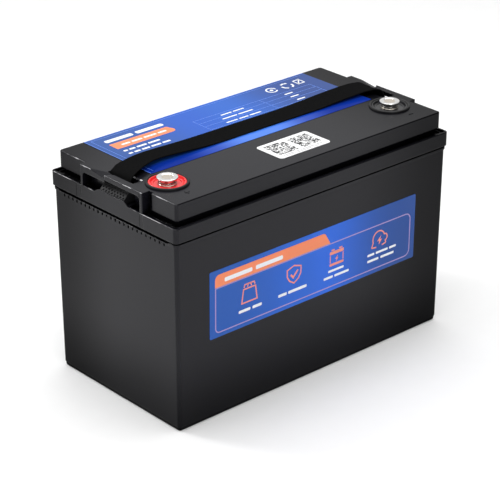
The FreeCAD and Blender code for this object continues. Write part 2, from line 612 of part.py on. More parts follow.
def strap_anchor(side):
    """The moulded end of the strap: a block with a dimpled ramp that hooks under the bridge bar."""
    foot_x = COLLAR_LENGTH / 2 - TONGUE_THICKNESS - 0.1
    block = prism_xz([(side * ANCHOR_INNER_X, ANCHOR_BOTTOM_Z), (side * foot_x, ANCHOR_BOTTOM_Z),
                      (side * foot_x, RAMP_FOOT_Z), (side * RAMP_TOP_X, ANCHOR_TOP_Z),
                      (side * ANCHOR_INNER_X, ANCHOR_TOP_Z)], -ANCHOR_HALF_WIDTH, ANCHOR_HALF_WIDTH)
    slit = STRAP_THICKNESS / 2 + 0.1
    slit_y = STRAP_WIDTH / 2 + 0.1
    block = block.cut(box((side * (STRAP_LEG_X - slit), side * (STRAP_LEG_X + slit)), (-slit_y, slit_y),
                          (STRAP_FOOT_Z - 0.3, ANCHOR_TOP_Z + 1)))
    foot, top = Vector(side * foot_x, 0, RAMP_FOOT_Z), Vector(side * RAMP_TOP_X, 0, ANCHOR_TOP_Z)
    dimples = []
    for row in range(DIMPLE_ROWS):
        centre = foot + (top - foot) * ((row + 0.5) / DIMPLE_ROWS)
        shift = DIMPLE_PITCH / 4 if row % 2 else -DIMPLE_PITCH / 4
        for column in range(DIMPLE_COLUMNS):
            y = (column - (DIMPLE_COLUMNS - 1) / 2) * DIMPLE_PITCH + shift
            dimples.append(Part.makeSphere(DIMPLE_RADIUS, Vector(centre.x, y, centre.z)))
    return block.cut(Part.makeCompound(dimples))


# ---- terminals --------------------------------------------------------------------------------------
def terminal_cup(x):
    """The dished coloured surround of one terminal."""
    neck, flange = POST_NECK_RADIUS + 0.1, POST_FLANGE_RADIUS + 0.1
    return turned([(neck, BOSS_TOP_Z), (CUP_RADIUS, BOSS_TOP_Z), (CUP_RADIUS, CUP_TOP_Z - 0.4),
                   (CUP_RADIUS - 0.5, CUP_TOP_Z), (CUP_RADIUS - 1.3, CUP_TOP_Z),
                   (CUP_RADIUS - 2.0, CUP_FLOOR_Z), (CUP_RADIUS - 2.8, CUP_FLOOR_Z),
                   (CUP_RADIUS - 3.2, CUP_RING_Z), (CUP_RADIUS - 4.2, CUP_RING_Z),
                   (CUP_RADIUS - 4.6, CUP_FLOOR_Z), (flange, CUP_FLOOR_Z), (flange, POST_FLANGE_Z),
                   (neck, POST_FLANGE_Z)], x, TERMINAL_Y)


def terminal_seal(x):
    """The round black seal that stands on the cover around the cup."""
    inner, outer = SEAL_RADII
    return turned([(inner, COVER_TOP_Z), (outer, COVER_TOP_Z), (outer, SEAL_TOP_Z - 0.9),
                   (outer - 0.3, SEAL_TOP_Z - 0.3), (outer - 0.8, SEAL_TOP_Z), (inner + 0.5, SEAL_TOP_Z),
                   (inner, SEAL_TOP_Z - 0.5)], x, TERMINAL_Y)


def terminal_post(x):
    """The M8 insert: a flange in the cup, a neck through the deck and a stud below it."""
    return turned([(0, POST_STUD_Z), (THREAD_RADIUS, POST_STUD_Z), (THREAD_RADIUS, POST_NECK_Z),
                   (POST_NECK_RADIUS, POST_NECK_Z), (POST_NECK_RADIUS, POST_FLANGE_Z),
                   (POST_FLANGE_RADIUS, POST_FLANGE_Z), (POST_FLANGE_RADIUS, POST_TOP_Z - 0.3),
                   (POST_FLANGE_RADIUS - 0.3, POST_TOP_Z), (POST_BORE_RADIUS, POST_TOP_Z),
                   (POST_BORE_RADIUS, POST_BORE_Z), (0, POST_BORE_Z)], x, TERMINAL_Y)


def flat_washer(x):
    inner, outer, thickness = FLAT_WASHER
    return tube_ring(inner, outer, POST_TOP_Z, POST_TOP_Z + thickness, x, TERMINAL_Y)


def lock_washer(x):
    """A split spring washer."""
    inner, outer, thickness = LOCK_WASHER
    z = POST_TOP_Z + FLAT_WASHER[2]
    washer = tube_ring(inner, outer, z, z + thickness, x, TERMINAL_Y)
    split = box((x, x + outer + 1), (TERMINAL_Y - 0.7, TERMINAL_Y + 0.7), (z - 1, z + thickness + 1))
    return washer.cut(split)


def terminal_bolt(x):
    """A round-headed M8 bolt with a notched crown under the head, to grip it by."""
    crown_z = POST_TOP_Z + FLAT_WASHER[2] + LOCK_WASHER[2]
    disc_z = crown_z + BOLT_CROWN_HEIGHT
    top_z = disc_z + BOLT_DISC_HEIGHT
    root = THREAD_RADIUS - THREAD_DEPTH
    floor_radius, rim_radius, recess = BOLT_RECESS
    profile = [(0, BOLT_SHANK_Z), (root, BOLT_SHANK_Z)]
    turns = int((POST_TOP_Z - BOLT_SHANK_Z) / THREAD_PITCH)
    for index in range(turns):
        z = BOLT_SHANK_Z + index * THREAD_PITCH
        profile += [(THREAD_RADIUS, z + 0.45 * THREAD_PITCH), (THREAD_RADIUS, z + 0.6 * THREAD_PITCH),
                    (root, z + THREAD_PITCH)]
    profile += [(THREAD_RADIUS, BOLT_SHANK_Z + turns * THREAD_PITCH + 0.5), (THREAD_RADIUS, crown_z),
                (BOLT_CROWN_RADIUS, crown_z), (BOLT_CROWN_RADIUS, disc_z), (BOLT_DISC_RADIUS - 0.3, disc_z),
                (BOLT_DISC_RADIUS, disc_z + 0.3), (BOLT_DISC_RADIUS, top_z - 0.4),
                (BOLT_DISC_RADIUS - 0.4, top_z), (rim_radius, top_z), (floor_radius, top_z - recess),
                (0, top_z - recess)]
    bolt = turned(profile, x, TERMINAL_Y)
    notches = []
    for index in range(BOLT_CROWN_NOTCHES):
        angle = 360.0 * index / BOLT_CROWN_NOTCHES
        notch = box((BOLT_CROWN_RADIUS - CROWN_NOTCH_DEPTH, BOLT_CROWN_RADIUS + 1),
                    (-CROWN_NOTCH_HALF_WIDTH, CROWN_NOTCH_HALF_WIDTH), (crown_z - 1, disc_z))
        notch.rotate(Vector(0, 0, 0), UP, angle)
        notch.translate(Vector(x, TERMINAL_Y, 0))
        notches.append(notch)
    return bolt.cut(Part.makeCompound(notches))


# ---- labels ---------------------------------------------------------------------------------------------
def lid_label(limits, radius):
    """A thin label on the cover's top face."""
    x0, x1, y0, y1 = limits
    z = COVER_TOP_Z + LABEL_LIFT
    return slab(x1 - x0, y1 - y0, radius, z, z + LABEL_THICKNESS, (x0 + x1) / 2, (y0 + y1) / 2)


def front_label():
    """The thin label on the front wall, leaning with the wall's draft."""
    x0, x1, z0, z1 = FRONT_LABEL
    plate = slab(x1 - x0, z1 - z0, 1.5, 0, LABEL_THICKNESS, (x0 + x1) / 2, (z0 + z1) / 2)
    plate.rotate(Vector(0, 0, 0), Vector(1, 0, 0), 90)
    lean = math.degrees(math.atan2(DRAFT_INSET, DRAFT_TOP_Z))
    plate.rotate(Vector(0, 0, 0), Vector(1, 0, 0), lean)
    plate.translate(Vector(0, -(CASE_WIDTH / 2 - DRAFT_INSET) - LABEL_LIFT, 0))
    return plate


# ---- cells and electronics ---------------------------------------------------------------------------------
CELL_X = [(i - (CELL_COUNT - 1) / 2) * (CELL_THICKNESS + CELL_GAP) for i in range(CELL_COUNT)]
STUD_TOP_Z = CELL_TOP_Z + CELL_POST_SIZE[2] + CELL_STUD_HEIGHT


def cell(x):
    """One prismatic cell in its can."""
    return slab(CELL_THICKNESS, CELL_WIDTH, 2.0, CELL_BOTTOM_Z, CELL_TOP_Z, x)


def cell_post(x, y):
    """A cell terminal: a square pad with a threaded stud."""
    length, width, height = CELL_POST_SIZE
    pad = slab(length, width, 2.0, CELL_TOP_Z, CELL_TOP_Z + height, x, y)
    return pad.fuse(cylinder(CELL_STUD_RADIUS, CELL_TOP_Z + 1, STUD_TOP_Z, x, y))


def busbar(x0, x1, y):
    """A copper link with an expansion hump, bored for the two studs."""
    z = CELL_TOP_Z + CELL_POST_SIZE[2]
    middle, t, hump = (x0 + x1) / 2, BUSBAR_THICKNESS, BUSBAR_HUMP
    start, stop = x0 - BUSBAR_OVERHANG, x1 + BUSBAR_OVERHANG
    outline = [(start, z), (middle - 6, z), (middle - 3, z + hump), (middle + 3, z + hump), (middle + 6, z),
               (stop, z), (stop, z + t), (middle + 7, z + t), (middle + 4, z + t + hump),
               (middle - 4, z + t + hump), (middle - 7, z + t), (start, z + t)]
    bar = prism_xz(outline, y - BUSBAR_WIDTH / 2, y + BUSBAR_WIDTH / 2)
    for x in (x0, x1):
        bar = bar.cut(cylinder(CELL_STUD_RADIUS + 0.2, z - 1, z + t + 1, x, y))
    return bar


def cell_nut(x, y):
    z = CELL_TOP_Z + CELL_POST_SIZE[2] + BUSBAR_THICKNESS
    if (x, y) in ((CELL_X[0], -CELL_POST_Y), (CELL_X[-1], -CELL_POST_Y)):
        z += LUG_THICKNESS - BUSBAR_THICKNESS
    flange_radius, flange_thickness = CELL_NUT_FLANGE
    nut = hexagon(CELL_NUT_FLATS, z, z + CELL_NUT_HEIGHT, x, y)
    nut = nut.fuse(cylinder(flange_radius, z, z + flange_thickness, x, y))
    return nut.cut(cylinder(CELL_STUD_RADIUS + 0.06, z - 1, z + CELL_NUT_HEIGHT + 1, x, y))


def lug(x, y, z, hole, heading):
    """A ring lug: an eye around the stud and a barrel that the cable goes into."""
    along = Vector(1, 0, 0)
    length, half_width = LUG_TONGUE
    radius, barrel_length = LUG_BARREL
    eye = cylinder(LUG_EYE, z, z + LUG_THICKNESS, x, y)
    tongue = box((x, x + length), (y - half_width, y + half_width), (z, z + LUG_THICKNESS))
    axis_z = z + LUG_AXIS
    barrel = Part.makeCylinder(radius, barrel_length, Vector(x + LUG_BARREL_START, y, axis_z), along)
    socket = Part.makeCylinder(CABLE_RADIUS + 0.1, barrel_length, Vector(x + LUG_SOCKET_START, y, axis_z),
                               along)
    barrel = barrel.cut(socket)
    body = eye.fuse([tongue, barrel]).cut(cylinder(hole, z - 2, z + LUG_THICKNESS + 2, x, y))
    body.rotate(Vector(x, y, z), UP, heading)
    return body


def lug_mouth(x, y, z, heading, out):
    """A point on the axis of a lug's barrel, out mm from the stud."""
    angle = math.radians(heading)
    return (x + out * math.cos(angle), y + out * math.sin(angle), z + LUG_AXIS)


def post_nut(x):
    flats, height = POST_NUT
    z = POST_NECK_Z - LUG_THICKNESS
    nut = hexagon(flats, z - height, z, x, TERMINAL_Y)
    return nut.cut(cylinder(THREAD_RADIUS + 0.06, z - height - 1, z + 1, x, TERMINAL_Y))


def bms_heat_sink():
    """A finned aluminium plate over the power transistors."""
    z = BMS_Z + BMS_THICKNESS + MOSFET_HEIGHT
    half = SINK_HALF_WIDTH
    sink = box(SINK_X, (-half, half), (z, z + SINK_PLATE))
    fins = [box(SINK_X, (y, y + FIN_THICKNESS), (z + SINK_PLATE - 1, z + SINK_HEIGHT))
            for y in range(int(-half), int(half), FIN_PITCH)]
    return sink.fuse(fins)


def write_enclosure():
    save("case_box", case_box())
    save("lid_base", lid_base())
    save("top_cover", top_cover())
    save("lid_seal", lid_seal())


def write_handle():
    save("handle_strap", handle_strap())
    for name, side in (("left", -1), ("right", 1)):
        save(name + "_strap_anchor", strap_anchor(side))


def write_terminals():
    for name, x in (("positive", -TERMINAL_X), ("negative", TERMINAL_X)):
        save(name + "_terminal_cup", terminal_cup(x))
        save(name + "_terminal_seal", terminal_seal(x))
        save(name + "_terminal_post", terminal_post(x))
        save(name + "_flat_washer", flat_washer(x))
        save(name + "_lock_washer", lock_washer(x))
        save(name + "_terminal_bolt", terminal_bolt(x))
    save("post_nuts", post_nut(-TERMINAL_X), post_nut(TERMINAL_X))


def write_labels():
    save("top_label", lid_label(TOP_LABEL, 1.0))
    save("code_sticker", lid_label(CODE_STICKER, 3.5))
    save("front_label", front_label())


def write_cells():
    for index, x in enumerate(CELL_X):
        save("cell_%d" % (index + 1), cell(x))
    studs = [(x, y) for x in CELL_X for y in (-CELL_POST_Y, CELL_POST_Y)]
    plate_z = (CELL_BOTTOM_Z, CELL_TOP_Z - HEADROOM)
    gaps = [(a + b) / 2 for a, b in zip(CELL_X, CELL_X[1:])]
    save("cell_posts", *[cell_post(x, y) for x, y in studs])
    save("cell_vents", *[cylinder(VENT_RADIUS, CELL_TOP_Z, CELL_TOP_Z + VENT_HEIGHT, x, 0) for x in CELL_X])
    save("cell_gap_pads", *[box((x - CELL_GAP / 2, x + CELL_GAP / 2), (-GAP_PAD_HALF, GAP_PAD_HALF), plate_z)
                            for x in gaps])
    save("cell_busbars", *[busbar(a, b, CELL_POST_Y if index % 2 == 0 else -CELL_POST_Y)
                           for index, (a, b) in enumerate(zip(CELL_X, CELL_X[1:]))])
    save("busbar_nuts", *[cell_nut(x, y) for x, y in studs])
    save("end_plates", *[box((side * BLOCK_HALF, side * (BLOCK_HALF + END_PLATE)),
                             (-END_PLATE_HALF, END_PLATE_HALF), plate_z) for side in (-1, 1)])
    inner = (2 * (BLOCK_HALF + END_PLATE), CELL_WIDTH)
    outer = (inner[0] + 2 * BAND_THICKNESS, inner[1] + 2 * BAND_THICKNESS)
    save("compression_bands", *[ring((*outer, 0.5), (*inner, 0.1), z - BAND_HEIGHT / 2, z + BAND_HEIGHT / 2)
                                for z in BAND_LEVELS])
    inside_x, inside_y = INSIDE_HALF
    save("bottom_foam_pad", box((-inside_x, inside_x), (-inside_y, inside_y),
                                (FLOOR_THICKNESS, CELL_BOTTOM_Z)))
    for name, side in (("left", -1), ("right", 1)):
        save(name + "_end_foam", box((side * (outer[0] / 2), side * inside_x),
                                     (-END_FOAM_HALF, END_FOAM_HALF), (CELL_BOTTOM_Z, CELL_TOP_Z)))


def write_electronics():
    half_x, half_y = BOARD_HALF
    spacers = [(sx * x, sy * SPACER_Y) for sx in (-1, 1) for x in SPACER_X for sy in (-1, 1)]
    save("board_spacers", *[cylinder(SPACER_RADIUS, CELL_TOP_Z, BOARD_Z, x, y) for x, y in spacers])
    save("cell_cover_board", box((-half_x, half_x), (-half_y, half_y),
                                 (BOARD_Z, BOARD_Z + BOARD_THICKNESS)))
    bms_x, bms_y = BMS_HALF
    corners = [(sx * STANDOFF_XY[0], sy * STANDOFF_XY[1]) for sx in (-1, 1) for sy in (-1, 1)]
    shank, head, length = BMS_SCREW
    top = BMS_Z + BMS_THICKNESS
    board = box((-bms_x, bms_x), (-bms_y, bms_y), (BMS_Z, top))
    for x, y in corners:
        board = board.cut(cylinder(shank + 0.2, BMS_Z - 1, top + 1, x, y))
    save("bms_board", board)
    save("bms_standoffs", *[tube_ring(shank + 0.1, STANDOFF_RADIUS, BOARD_Z + BOARD_THICKNESS, BMS_Z, x, y)
                            for x, y in corners])
    save("bms_screws", *[cylinder(shank, BMS_Z - length, top, x, y).fuse(
        cylinder(head, top, top + BMS_SCREW_HEAD, x, y)) for x, y in corners])
    width, depth = MOSFET_HALF
    save("bms_mosfets", *[box((x - width, x + width), (y - depth, y + depth), (top, top + MOSFET_HEIGHT))
                          for x in MOSFET_X for y in MOSFET_Y])
    save("bms_heat_sink", bms_heat_sink())
    save("balance_connector", box(CONNECTOR_X, (-CONNECTOR_HALF, CONNECTOR_HALF),
                                  (top, top + CONNECTOR_HEIGHT)))
    save("bms_power_blocks", *[box(POWER_BLOCK_X, (y - POWER_BLOCK_HALF, y + POWER_BLOCK_HALF),
                                   (top, top + POWER_BLOCK_HEIGHT)) for y in POWER_BLOCK_Y])


def write_lugs(eye_z, post_lug_z):
    """Two lugs on the end cells' studs, and two upside down under the terminal posts."""
    cell_hole, post_hole = CELL_STUD_RADIUS + 0.2, THREAD_RADIUS + 0.2
    lugs = [lug(x, -CELL_POST_Y, eye_z, cell_hole, heading)
            for x, heading in ((CELL_X[0], 180), (CELL_X[-1], 0))]
    for x in (-TERMINAL_X, TERMINAL_X):
        inverted = lug(x, TERMINAL_Y, 0, post_hole, 90)
        inverted.rotate(Vector(x, TERMINAL_Y, 0), Vector(0, 1, 0), 180)
        inverted.translate(Vector(0, 0, post_lug_z + LUG_THICKNESS))
        lugs.append(inverted)
    save("cable_lugs", *lugs)


def write_wiring():
    eye_z = CELL_TOP_Z + CELL_POST_SIZE[2]
    post_lug_z = POST_NECK_Z - LUG_THICKNESS
    write_lugs(eye_z, post_lug_z)
    cell_axis_z, post_axis_z = eye_z + LUG_AXIS, post_lug_z + LUG_THICKNESS - LUG_AXIS
    block_axis_z = BMS_Z + BMS_THICKNESS + POWER_BLOCK_HEIGHT + 6
    first, last, socket_y = CELL_X[0], CELL_X[-1], TERMINAL_Y + 15.0
    save("positive_cable", cable([
        lug_mouth(first, -CELL_POST_Y, eye_z, 180, 15.0), (first - 44, -CELL_POST_Y, cell_axis_z),
        (-130, -44, 150), (-138, 0, 168), (-TERMINAL_X, 26, post_axis_z - 6),
        (-TERMINAL_X, TERMINAL_Y + 36, post_axis_z), (-TERMINAL_X, socket_y, post_axis_z)], CABLE_RADIUS))
    save("bms_cable", cable([
        lug_mouth(last, -CELL_POST_Y, eye_z, 0, 15.0), (last + 40, -CELL_POST_Y, cell_axis_z),
        (last + 46, -40, 152), (last + 26, -14, block_axis_z), (last - 2, -14, block_axis_z)], CABLE_RADIUS))
    save("negative_cable", cable([
        (last - 2, 14, block_axis_z), (last + 26, 14, block_axis_z), (130, 40, 178),
        (TERMINAL_X, 30, post_axis_z - 2), (TERMINAL_X, TERMINAL_Y + 38, post_axis_z),
        (TERMINAL_X, socket_y, post_axis_z)], CABLE_RADIUS))
    wires = []
    z = BMS_Z + BMS_THICKNESS + 3
    for y, y_end in HARNESS_ENDS:
        bow = 3.0 if y_end == 0 else 0.0
        wires.append(cable([(CONNECTOR_X[0] - 0.2, y, z), (-84, y, z),
                            (-96, 0.7 * y + 0.3 * y_end + bow, z - 3), (-105, 0.3 * y + 0.7 * y_end, z - 11),
                            (-106, y_end - bow, z - 22), (-96, y_end, CELL_TOP_Z + 6),
                            (-89, y_end, CELL_TOP_Z + 2)], HARNESS_RADIUS))
    save("balance_harness", *wires)
    radius, height, x = PROBE
    save("temperature_probe", cylinder(radius, CELL_TOP_Z, CELL_TOP_Z + height, x, 0))


write_enclosure()
write_handle()
write_terminals()
write_labels()
write_cells()
write_electronics()
write_wiring()
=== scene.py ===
"""The look of a sealed deep cycle battery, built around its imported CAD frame.

Metres, in the CAD's own frame: +X along the battery from the positive terminal,
-Y is the labelled front, +Z up. The strap, the bolts and the drawings on the labels
are laid out in millimetres.
"""
import bpy
import json
import math
import random
import numpy as np
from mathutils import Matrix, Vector


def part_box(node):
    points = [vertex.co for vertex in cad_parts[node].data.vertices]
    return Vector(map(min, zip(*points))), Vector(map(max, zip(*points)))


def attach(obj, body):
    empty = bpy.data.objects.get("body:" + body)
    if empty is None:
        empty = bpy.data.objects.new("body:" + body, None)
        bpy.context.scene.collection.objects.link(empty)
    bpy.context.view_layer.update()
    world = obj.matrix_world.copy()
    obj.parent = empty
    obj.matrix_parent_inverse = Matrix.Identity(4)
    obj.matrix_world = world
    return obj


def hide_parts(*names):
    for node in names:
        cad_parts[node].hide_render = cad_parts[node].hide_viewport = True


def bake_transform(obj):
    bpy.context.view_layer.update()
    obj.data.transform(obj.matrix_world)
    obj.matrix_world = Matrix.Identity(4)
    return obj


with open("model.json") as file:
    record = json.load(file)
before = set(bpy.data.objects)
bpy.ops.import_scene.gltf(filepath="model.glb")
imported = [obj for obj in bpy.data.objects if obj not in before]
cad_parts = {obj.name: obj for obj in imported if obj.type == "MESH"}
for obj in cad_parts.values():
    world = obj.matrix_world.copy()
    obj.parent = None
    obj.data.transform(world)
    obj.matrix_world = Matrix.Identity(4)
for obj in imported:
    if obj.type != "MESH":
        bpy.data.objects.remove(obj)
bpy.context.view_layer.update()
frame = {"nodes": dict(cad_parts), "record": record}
MM = 0.001

# ---- the photograph's view, in metres and degrees ------------------------------------------------
CAMERA_TURN = -41.794          # degrees round the object
CAMERA_RISE = 25.373
CAMERA_DISTANCE = 1.8185
CAMERA_LENS = 141.4            # millimetres, as is the sensor's width
CAMERA_SENSOR = 36.0
CAMERA_AIM = Vector((0, 0, 0.110))
AIM_SHIFT = (-0.0038, -0.0132)  # along the picture's right and up

# ---- strap, in millimetres -----------------------------------------------------------------------
STRAP_WIDTH = 25.0
STRAP_THICKNESS = 1.5
STRAP_STEP = 0.4               # mesh step along and across
WARP_PITCH = 1.25              # one lengthways yarn
FLOAT_LENGTH = 5.0             # a yarn's rise and fall along the strap
CHEVRON_YARNS = 5              # yarns before the twill turns back
WEAVE_RELIEF = 0.13
# x, y, height of the middle of the webbing above the label, roll with the far edge up, in degrees
STRAP_RIGHT = ((0, 9.3, 0.85, 0), (48, 9.1, 0.85, 0), (60, 9.0, 1.0, 0.4), (80, 8.7, 1.55, 2.4),
               (100, 8.8, 2.45, 1.9), (118, 8.3, 3.35, 1.5), (130, 7.7, 3.85, 0.8), (140, 6.4, 4.1, 0))
STRAP_LEFT = ((0, 9.3, 0.85, 0), (-48, 9.3, 0.85, 0), (-60, 9.5, 1.1, -1.2), (-80, 10.1, 1.8, -3.8),
              (-100, 10.8, 2.5, -5.8), (-112, 10.6, 2.9, -6.6), (-124, 8.4, 3.5, -6.9),
              (-134, 5.0, 4.0, -5.5), (-141, 2.4, 4.2, -3.5))
# x, y and z of the middle of the webbing as it turns down, then its yaw: far edge outwards
TURN_RIGHT = ((148.6, 3.6, 218.6, 0), (153.4, 1.4, 215.6, 0), (155.2, 0.4, 211.0, 0))
TURN_LEFT = ((-148.8, -0.6, 218.7, 5), (-153.6, -1.2, 215.7, 8), (-155.2, -0.6, 211.0, 4))
STRAP_LEG_X = 155.4
STRAP_LEG_Z = (205.2, 200.5)   # where the webbing enters its anchor, and its end
STRAP_SMOOTH_ANGLE = 60        # degrees
SELVEDGE = 0.8                 # how far in from its edges the webbing thins
SELVEDGE_THICKNESS = 0.45      # of the thickness, at the very edge

# ---- bolts, in millimetres -----------------------------------------------------------------------
BOLT_SIDES = 96
THREAD_RADIUS = 3.98
THREAD_DEPTH = 0.55
THREAD_PITCH = 1.25
CROWN_HEIGHT = 1.4
DISC_HEIGHT = 1.4
CROWN_RADIUS = 8.6
DISC_RADIUS = 9.35
NOTCHES = 8
NOTCH_HALF_ANGLE = 10.0        # degrees
NOTCH_DEPTH = 1.6
NOTCH_CORNER = 0.15            # half of the angle over which a notch's wall turns in
BOLT_SMOOTH_ANGLE = 28         # degrees
BOLT_CENTRE = (134.0, -39.0)   # x of both bolts, without its sign, and y
BRASS_RADIUS = 5.6             # of the unplated middle of the head

# ---- labels, in millimetres ----------------------------------------------------------------------
PRINT_LIFT = 0.006             # over the label's face
PRINT_THICKNESS = 0.03
BAR_HEIGHT = 0.6               # of the height of the letters that a bar stands in for
BAR_CORNER = 0.3               # radius of a bar's corners, of its height
WORD_GAP = 0.9                 # between words, in letters
FRONT_LEAN = 1.2 / 178.0       # the front wall's draft
CODE_SEED = 7
CODE_MODULES = 21              # squares along a side of each code block
CODE_DARK = 0.52               # share of dark squares

# ---- materials, in metres ------------------------------------------------------------------------
SMUDGE_SCALE = 14.0            # broad changes of roughness, in every material
EDGE_ROUGHNESS = 0.24          # of rounded edges polished by handling
FOOT_SHADE_PAINT = (0.0, 0.085, 0.40)      # z from, z to, and the share of colour and sheen left at the foot: painted shade
RIGHT_SHADE_PAINT = (0.020, 0.165, 0.38)   # x from, x to, and the share of colour and sheen left at the right end: painted shade
REAR_SHADE_PAINT = (0.075, 0.160, 0.40)    # the same for y less half of x, at the rear of the left end: painted shade
CREVICE_REACH = 0.009          # walls this near keep the light from the case's plastic
EDGE_HIGHLIGHT_PAINT = (0.55, 0.55, 0.57)    # colour of the highlights painted in patches on the left upper edges
FRONT_EDGE_SHADE_PAINT = 0.1         # share of colour and sheen left on the front upper edges: painted shade
COLLAR_SEAMS = (-0.039, 0.049)      # y of the fine upright lines in the collar's end faces
SEAM_FROM_Z = 0.1826           # the lines run up from here
SEAM_FROM_X = 0.1640           # and lie beyond this distance from the middle
SEAM_SHEEN = 0.3
LID_FROM, LID_TO = 0.15, 0.20  # heights between which the front label's blue gives way to the lid's
STRIP_FROM, STRIP_TO = -0.004, 0.002     # y over which the strip before the strap ends
STRIP_SHADE_LENGTH = 0.10            # how far from the middle the strap's shadow painted on the strip has gone dark

# ---- light, in metres and watts ------------------------------------------------------------------
WORLD_BRIGHT = 0.70            # behind the object
WORLD_DIM = 0.20               # in front of it
WORLD_TOWARDS = (0.0, 0.98, 0.20)
WORLD_SPREAD = (-0.4, 0.65)    # between these amounts of that direction the light grows
FLOOR_SIZE = 14.0
# name, place, aim, size and power
LIGHTS = (("overhead", (0.1, -0.2, 2.0), (0, 0, 0.1), (2.4, 2.4), 44),
          ("rim", (-0.62, 1.02, 1.08), (0, 0, 0.2), (0.34, 0.22), 7),
          ("front_fill", (-0.9, -2.2, 1.0), (0, 0, 0.1), (1.6, 1.0), 14))


# ---- meshes --------------------------------------------------------------------------------------
def mesh_object(name, verts, faces, material, smooth_angle=None):
    """A mesh object from vertices in millimetres."""
    data = bpy.data.meshes.new(name)
    data.from_pydata([tuple(c * MM for c in v) for v in verts], [], faces)
    data.validate()
    data.update()
    data.materials.append(material)
    if smooth_angle is not None:
        data.shade_smooth()
        data.set_sharp_from_angle(angle=math.radians(smooth_angle))
    obj = bpy.data.objects.new(name, data)
    bpy.context.scene.collection.objects.link(obj)
    return obj


class Print:
    """One ink on one label: thin closed plates that end up in a single mesh."""

    def __init__(self, name, place, layer=0):
        self.name, self.place = name, place
        self.low = PRINT_LIFT + layer * (PRINT_THICKNESS + PRINT_LIFT)
        self.verts, self.faces = [], []

    def _close(self, rings, loops):
        """Plates from matching outlines: rings is a list of point lists, loops the top's faces."""
        first, count = len(self.verts), sum(len(r) for r in rings)
        for level in (self.low, self.low + PRINT_THICKNESS):
            for ring in rings:
                self.verts += [self.place(u, v, level) for u, v in ring]
        for loop in loops:
            self.faces.append([first + count + i for i in loop])
            self.faces.append([first + i for i in reversed(loop)])
        start = 0
        for number, ring in enumerate(rings):
            n = len(ring)
            for i in range(n):
                a, b = first + start + i, first + start + (i + 1) % n
                side = [a, b, b + count, a + count]
                self.faces.append(side if number == 0 else side[::-1])
            start += n

    def plate(self, outline):
        """A filled shape, given anticlockwise."""
        self._close([outline], [list(range(len(outline)))])

    def bar(self, u0, u1, v0, v1, radius=0.0, corners=4):
        """A rectangle with round corners."""
        outline = []
        for cu, cv, start in ((u1, v0, -90), (u1, v1, 0), (u0, v1, 90), (u0, v0, 180)):
            su, sv = (-1 if cu == u1 else 1), (-1 if cv == v1 else 1)
            for k in range(corners + 1 if radius else 1):
                angle = math.radians(start + 90 * k / corners)
                outline.append((cu + su * radius + radius * math.cos(angle),
                                cv + sv * radius + radius * math.sin(angle)))
        self.plate(outline)

    def stroke(self, points, width, closed=False):
        """A line of constant width with mitred corners."""
        n, left, right = len(points), [], []
        for i, (u, v) in enumerate(points):
            before = points[i - 1] if closed or i else points[i]
            after = points[(i + 1) % n] if closed or i < n - 1 else points[i]
            dirs = [Vector((b[0] - a[0], b[1] - a[1])).normalized()
                    for a, b in ((before, (u, v)), ((u, v), after)) if a != b]
            normals = [Vector((-d.y, d.x)) for d in dirs]
            mitre = sum(normals, Vector((0, 0))).normalized()
            mitre *= width / 2 / max(0.4, mitre.dot(normals[0]))
            left.append((u + mitre.x, v + mitre.y))
            right.append((u - mitre.x, v - mitre.y))
        if closed:
            loops = [[i, (i + 1) % n, n + (i + 1) % n, n + i] for i in range(n)]
            self._close([right, left], loops)
        else:
            loops = [[i, i + 1, 2 * n - 2 - i, 2 * n - 1 - i] for i in range(n - 1)]
            self._close([right + left[::-1]], loops)

    def words(self, u0, u1, v0, v1, letters):
        """A line of text stood in for by one plain bar per word, as wide as its letters."""
        pitch = (u1 - u0) / (sum(letters) + WORD_GAP * (len(letters) - 1))
        inset = (1 - BAR_HEIGHT) / 2 * (v1 - v0)
        u = u0
        for count in letters:
            self.bar(u, u + count * pitch, v0 + inset, v1 - inset, BAR_CORNER * (v1 - v0 - 2 * inset))
            u += (count + WORD_GAP) * pitch

    def build(self, slot, material):
        """The ink as one object on the case."""
        obj = mesh_object(self.name, self.verts, self.faces, material)
        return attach(obj, "case")


def arc(cu, cv, radius, start, end, steps=12):
    """Points along an arc, in degrees anticlockwise."""
    angles = [math.radians(start + (end - start) * k / steps) for k in range(steps + 1)]
    return [(cu + radius * math.cos(a), cv + radius * math.sin(a)) for a in angles]


def rounded(u0, u1, v0, v1, radii):
    """A rectangle's outline with its own radius at each corner, from bottom right, anticlockwise."""
    points = []
    for (cu, cv, start), r in zip(((u1, v0, -90), (u1, v1, 0), (u0, v1, 90), (u0, v0, 180)), radii):
        u, v = cu + (-r if cu == u1 else r), cv + (-r if cv == v1 else r)
        points += arc(u, v, r, start, start + 90, 6)
    return points


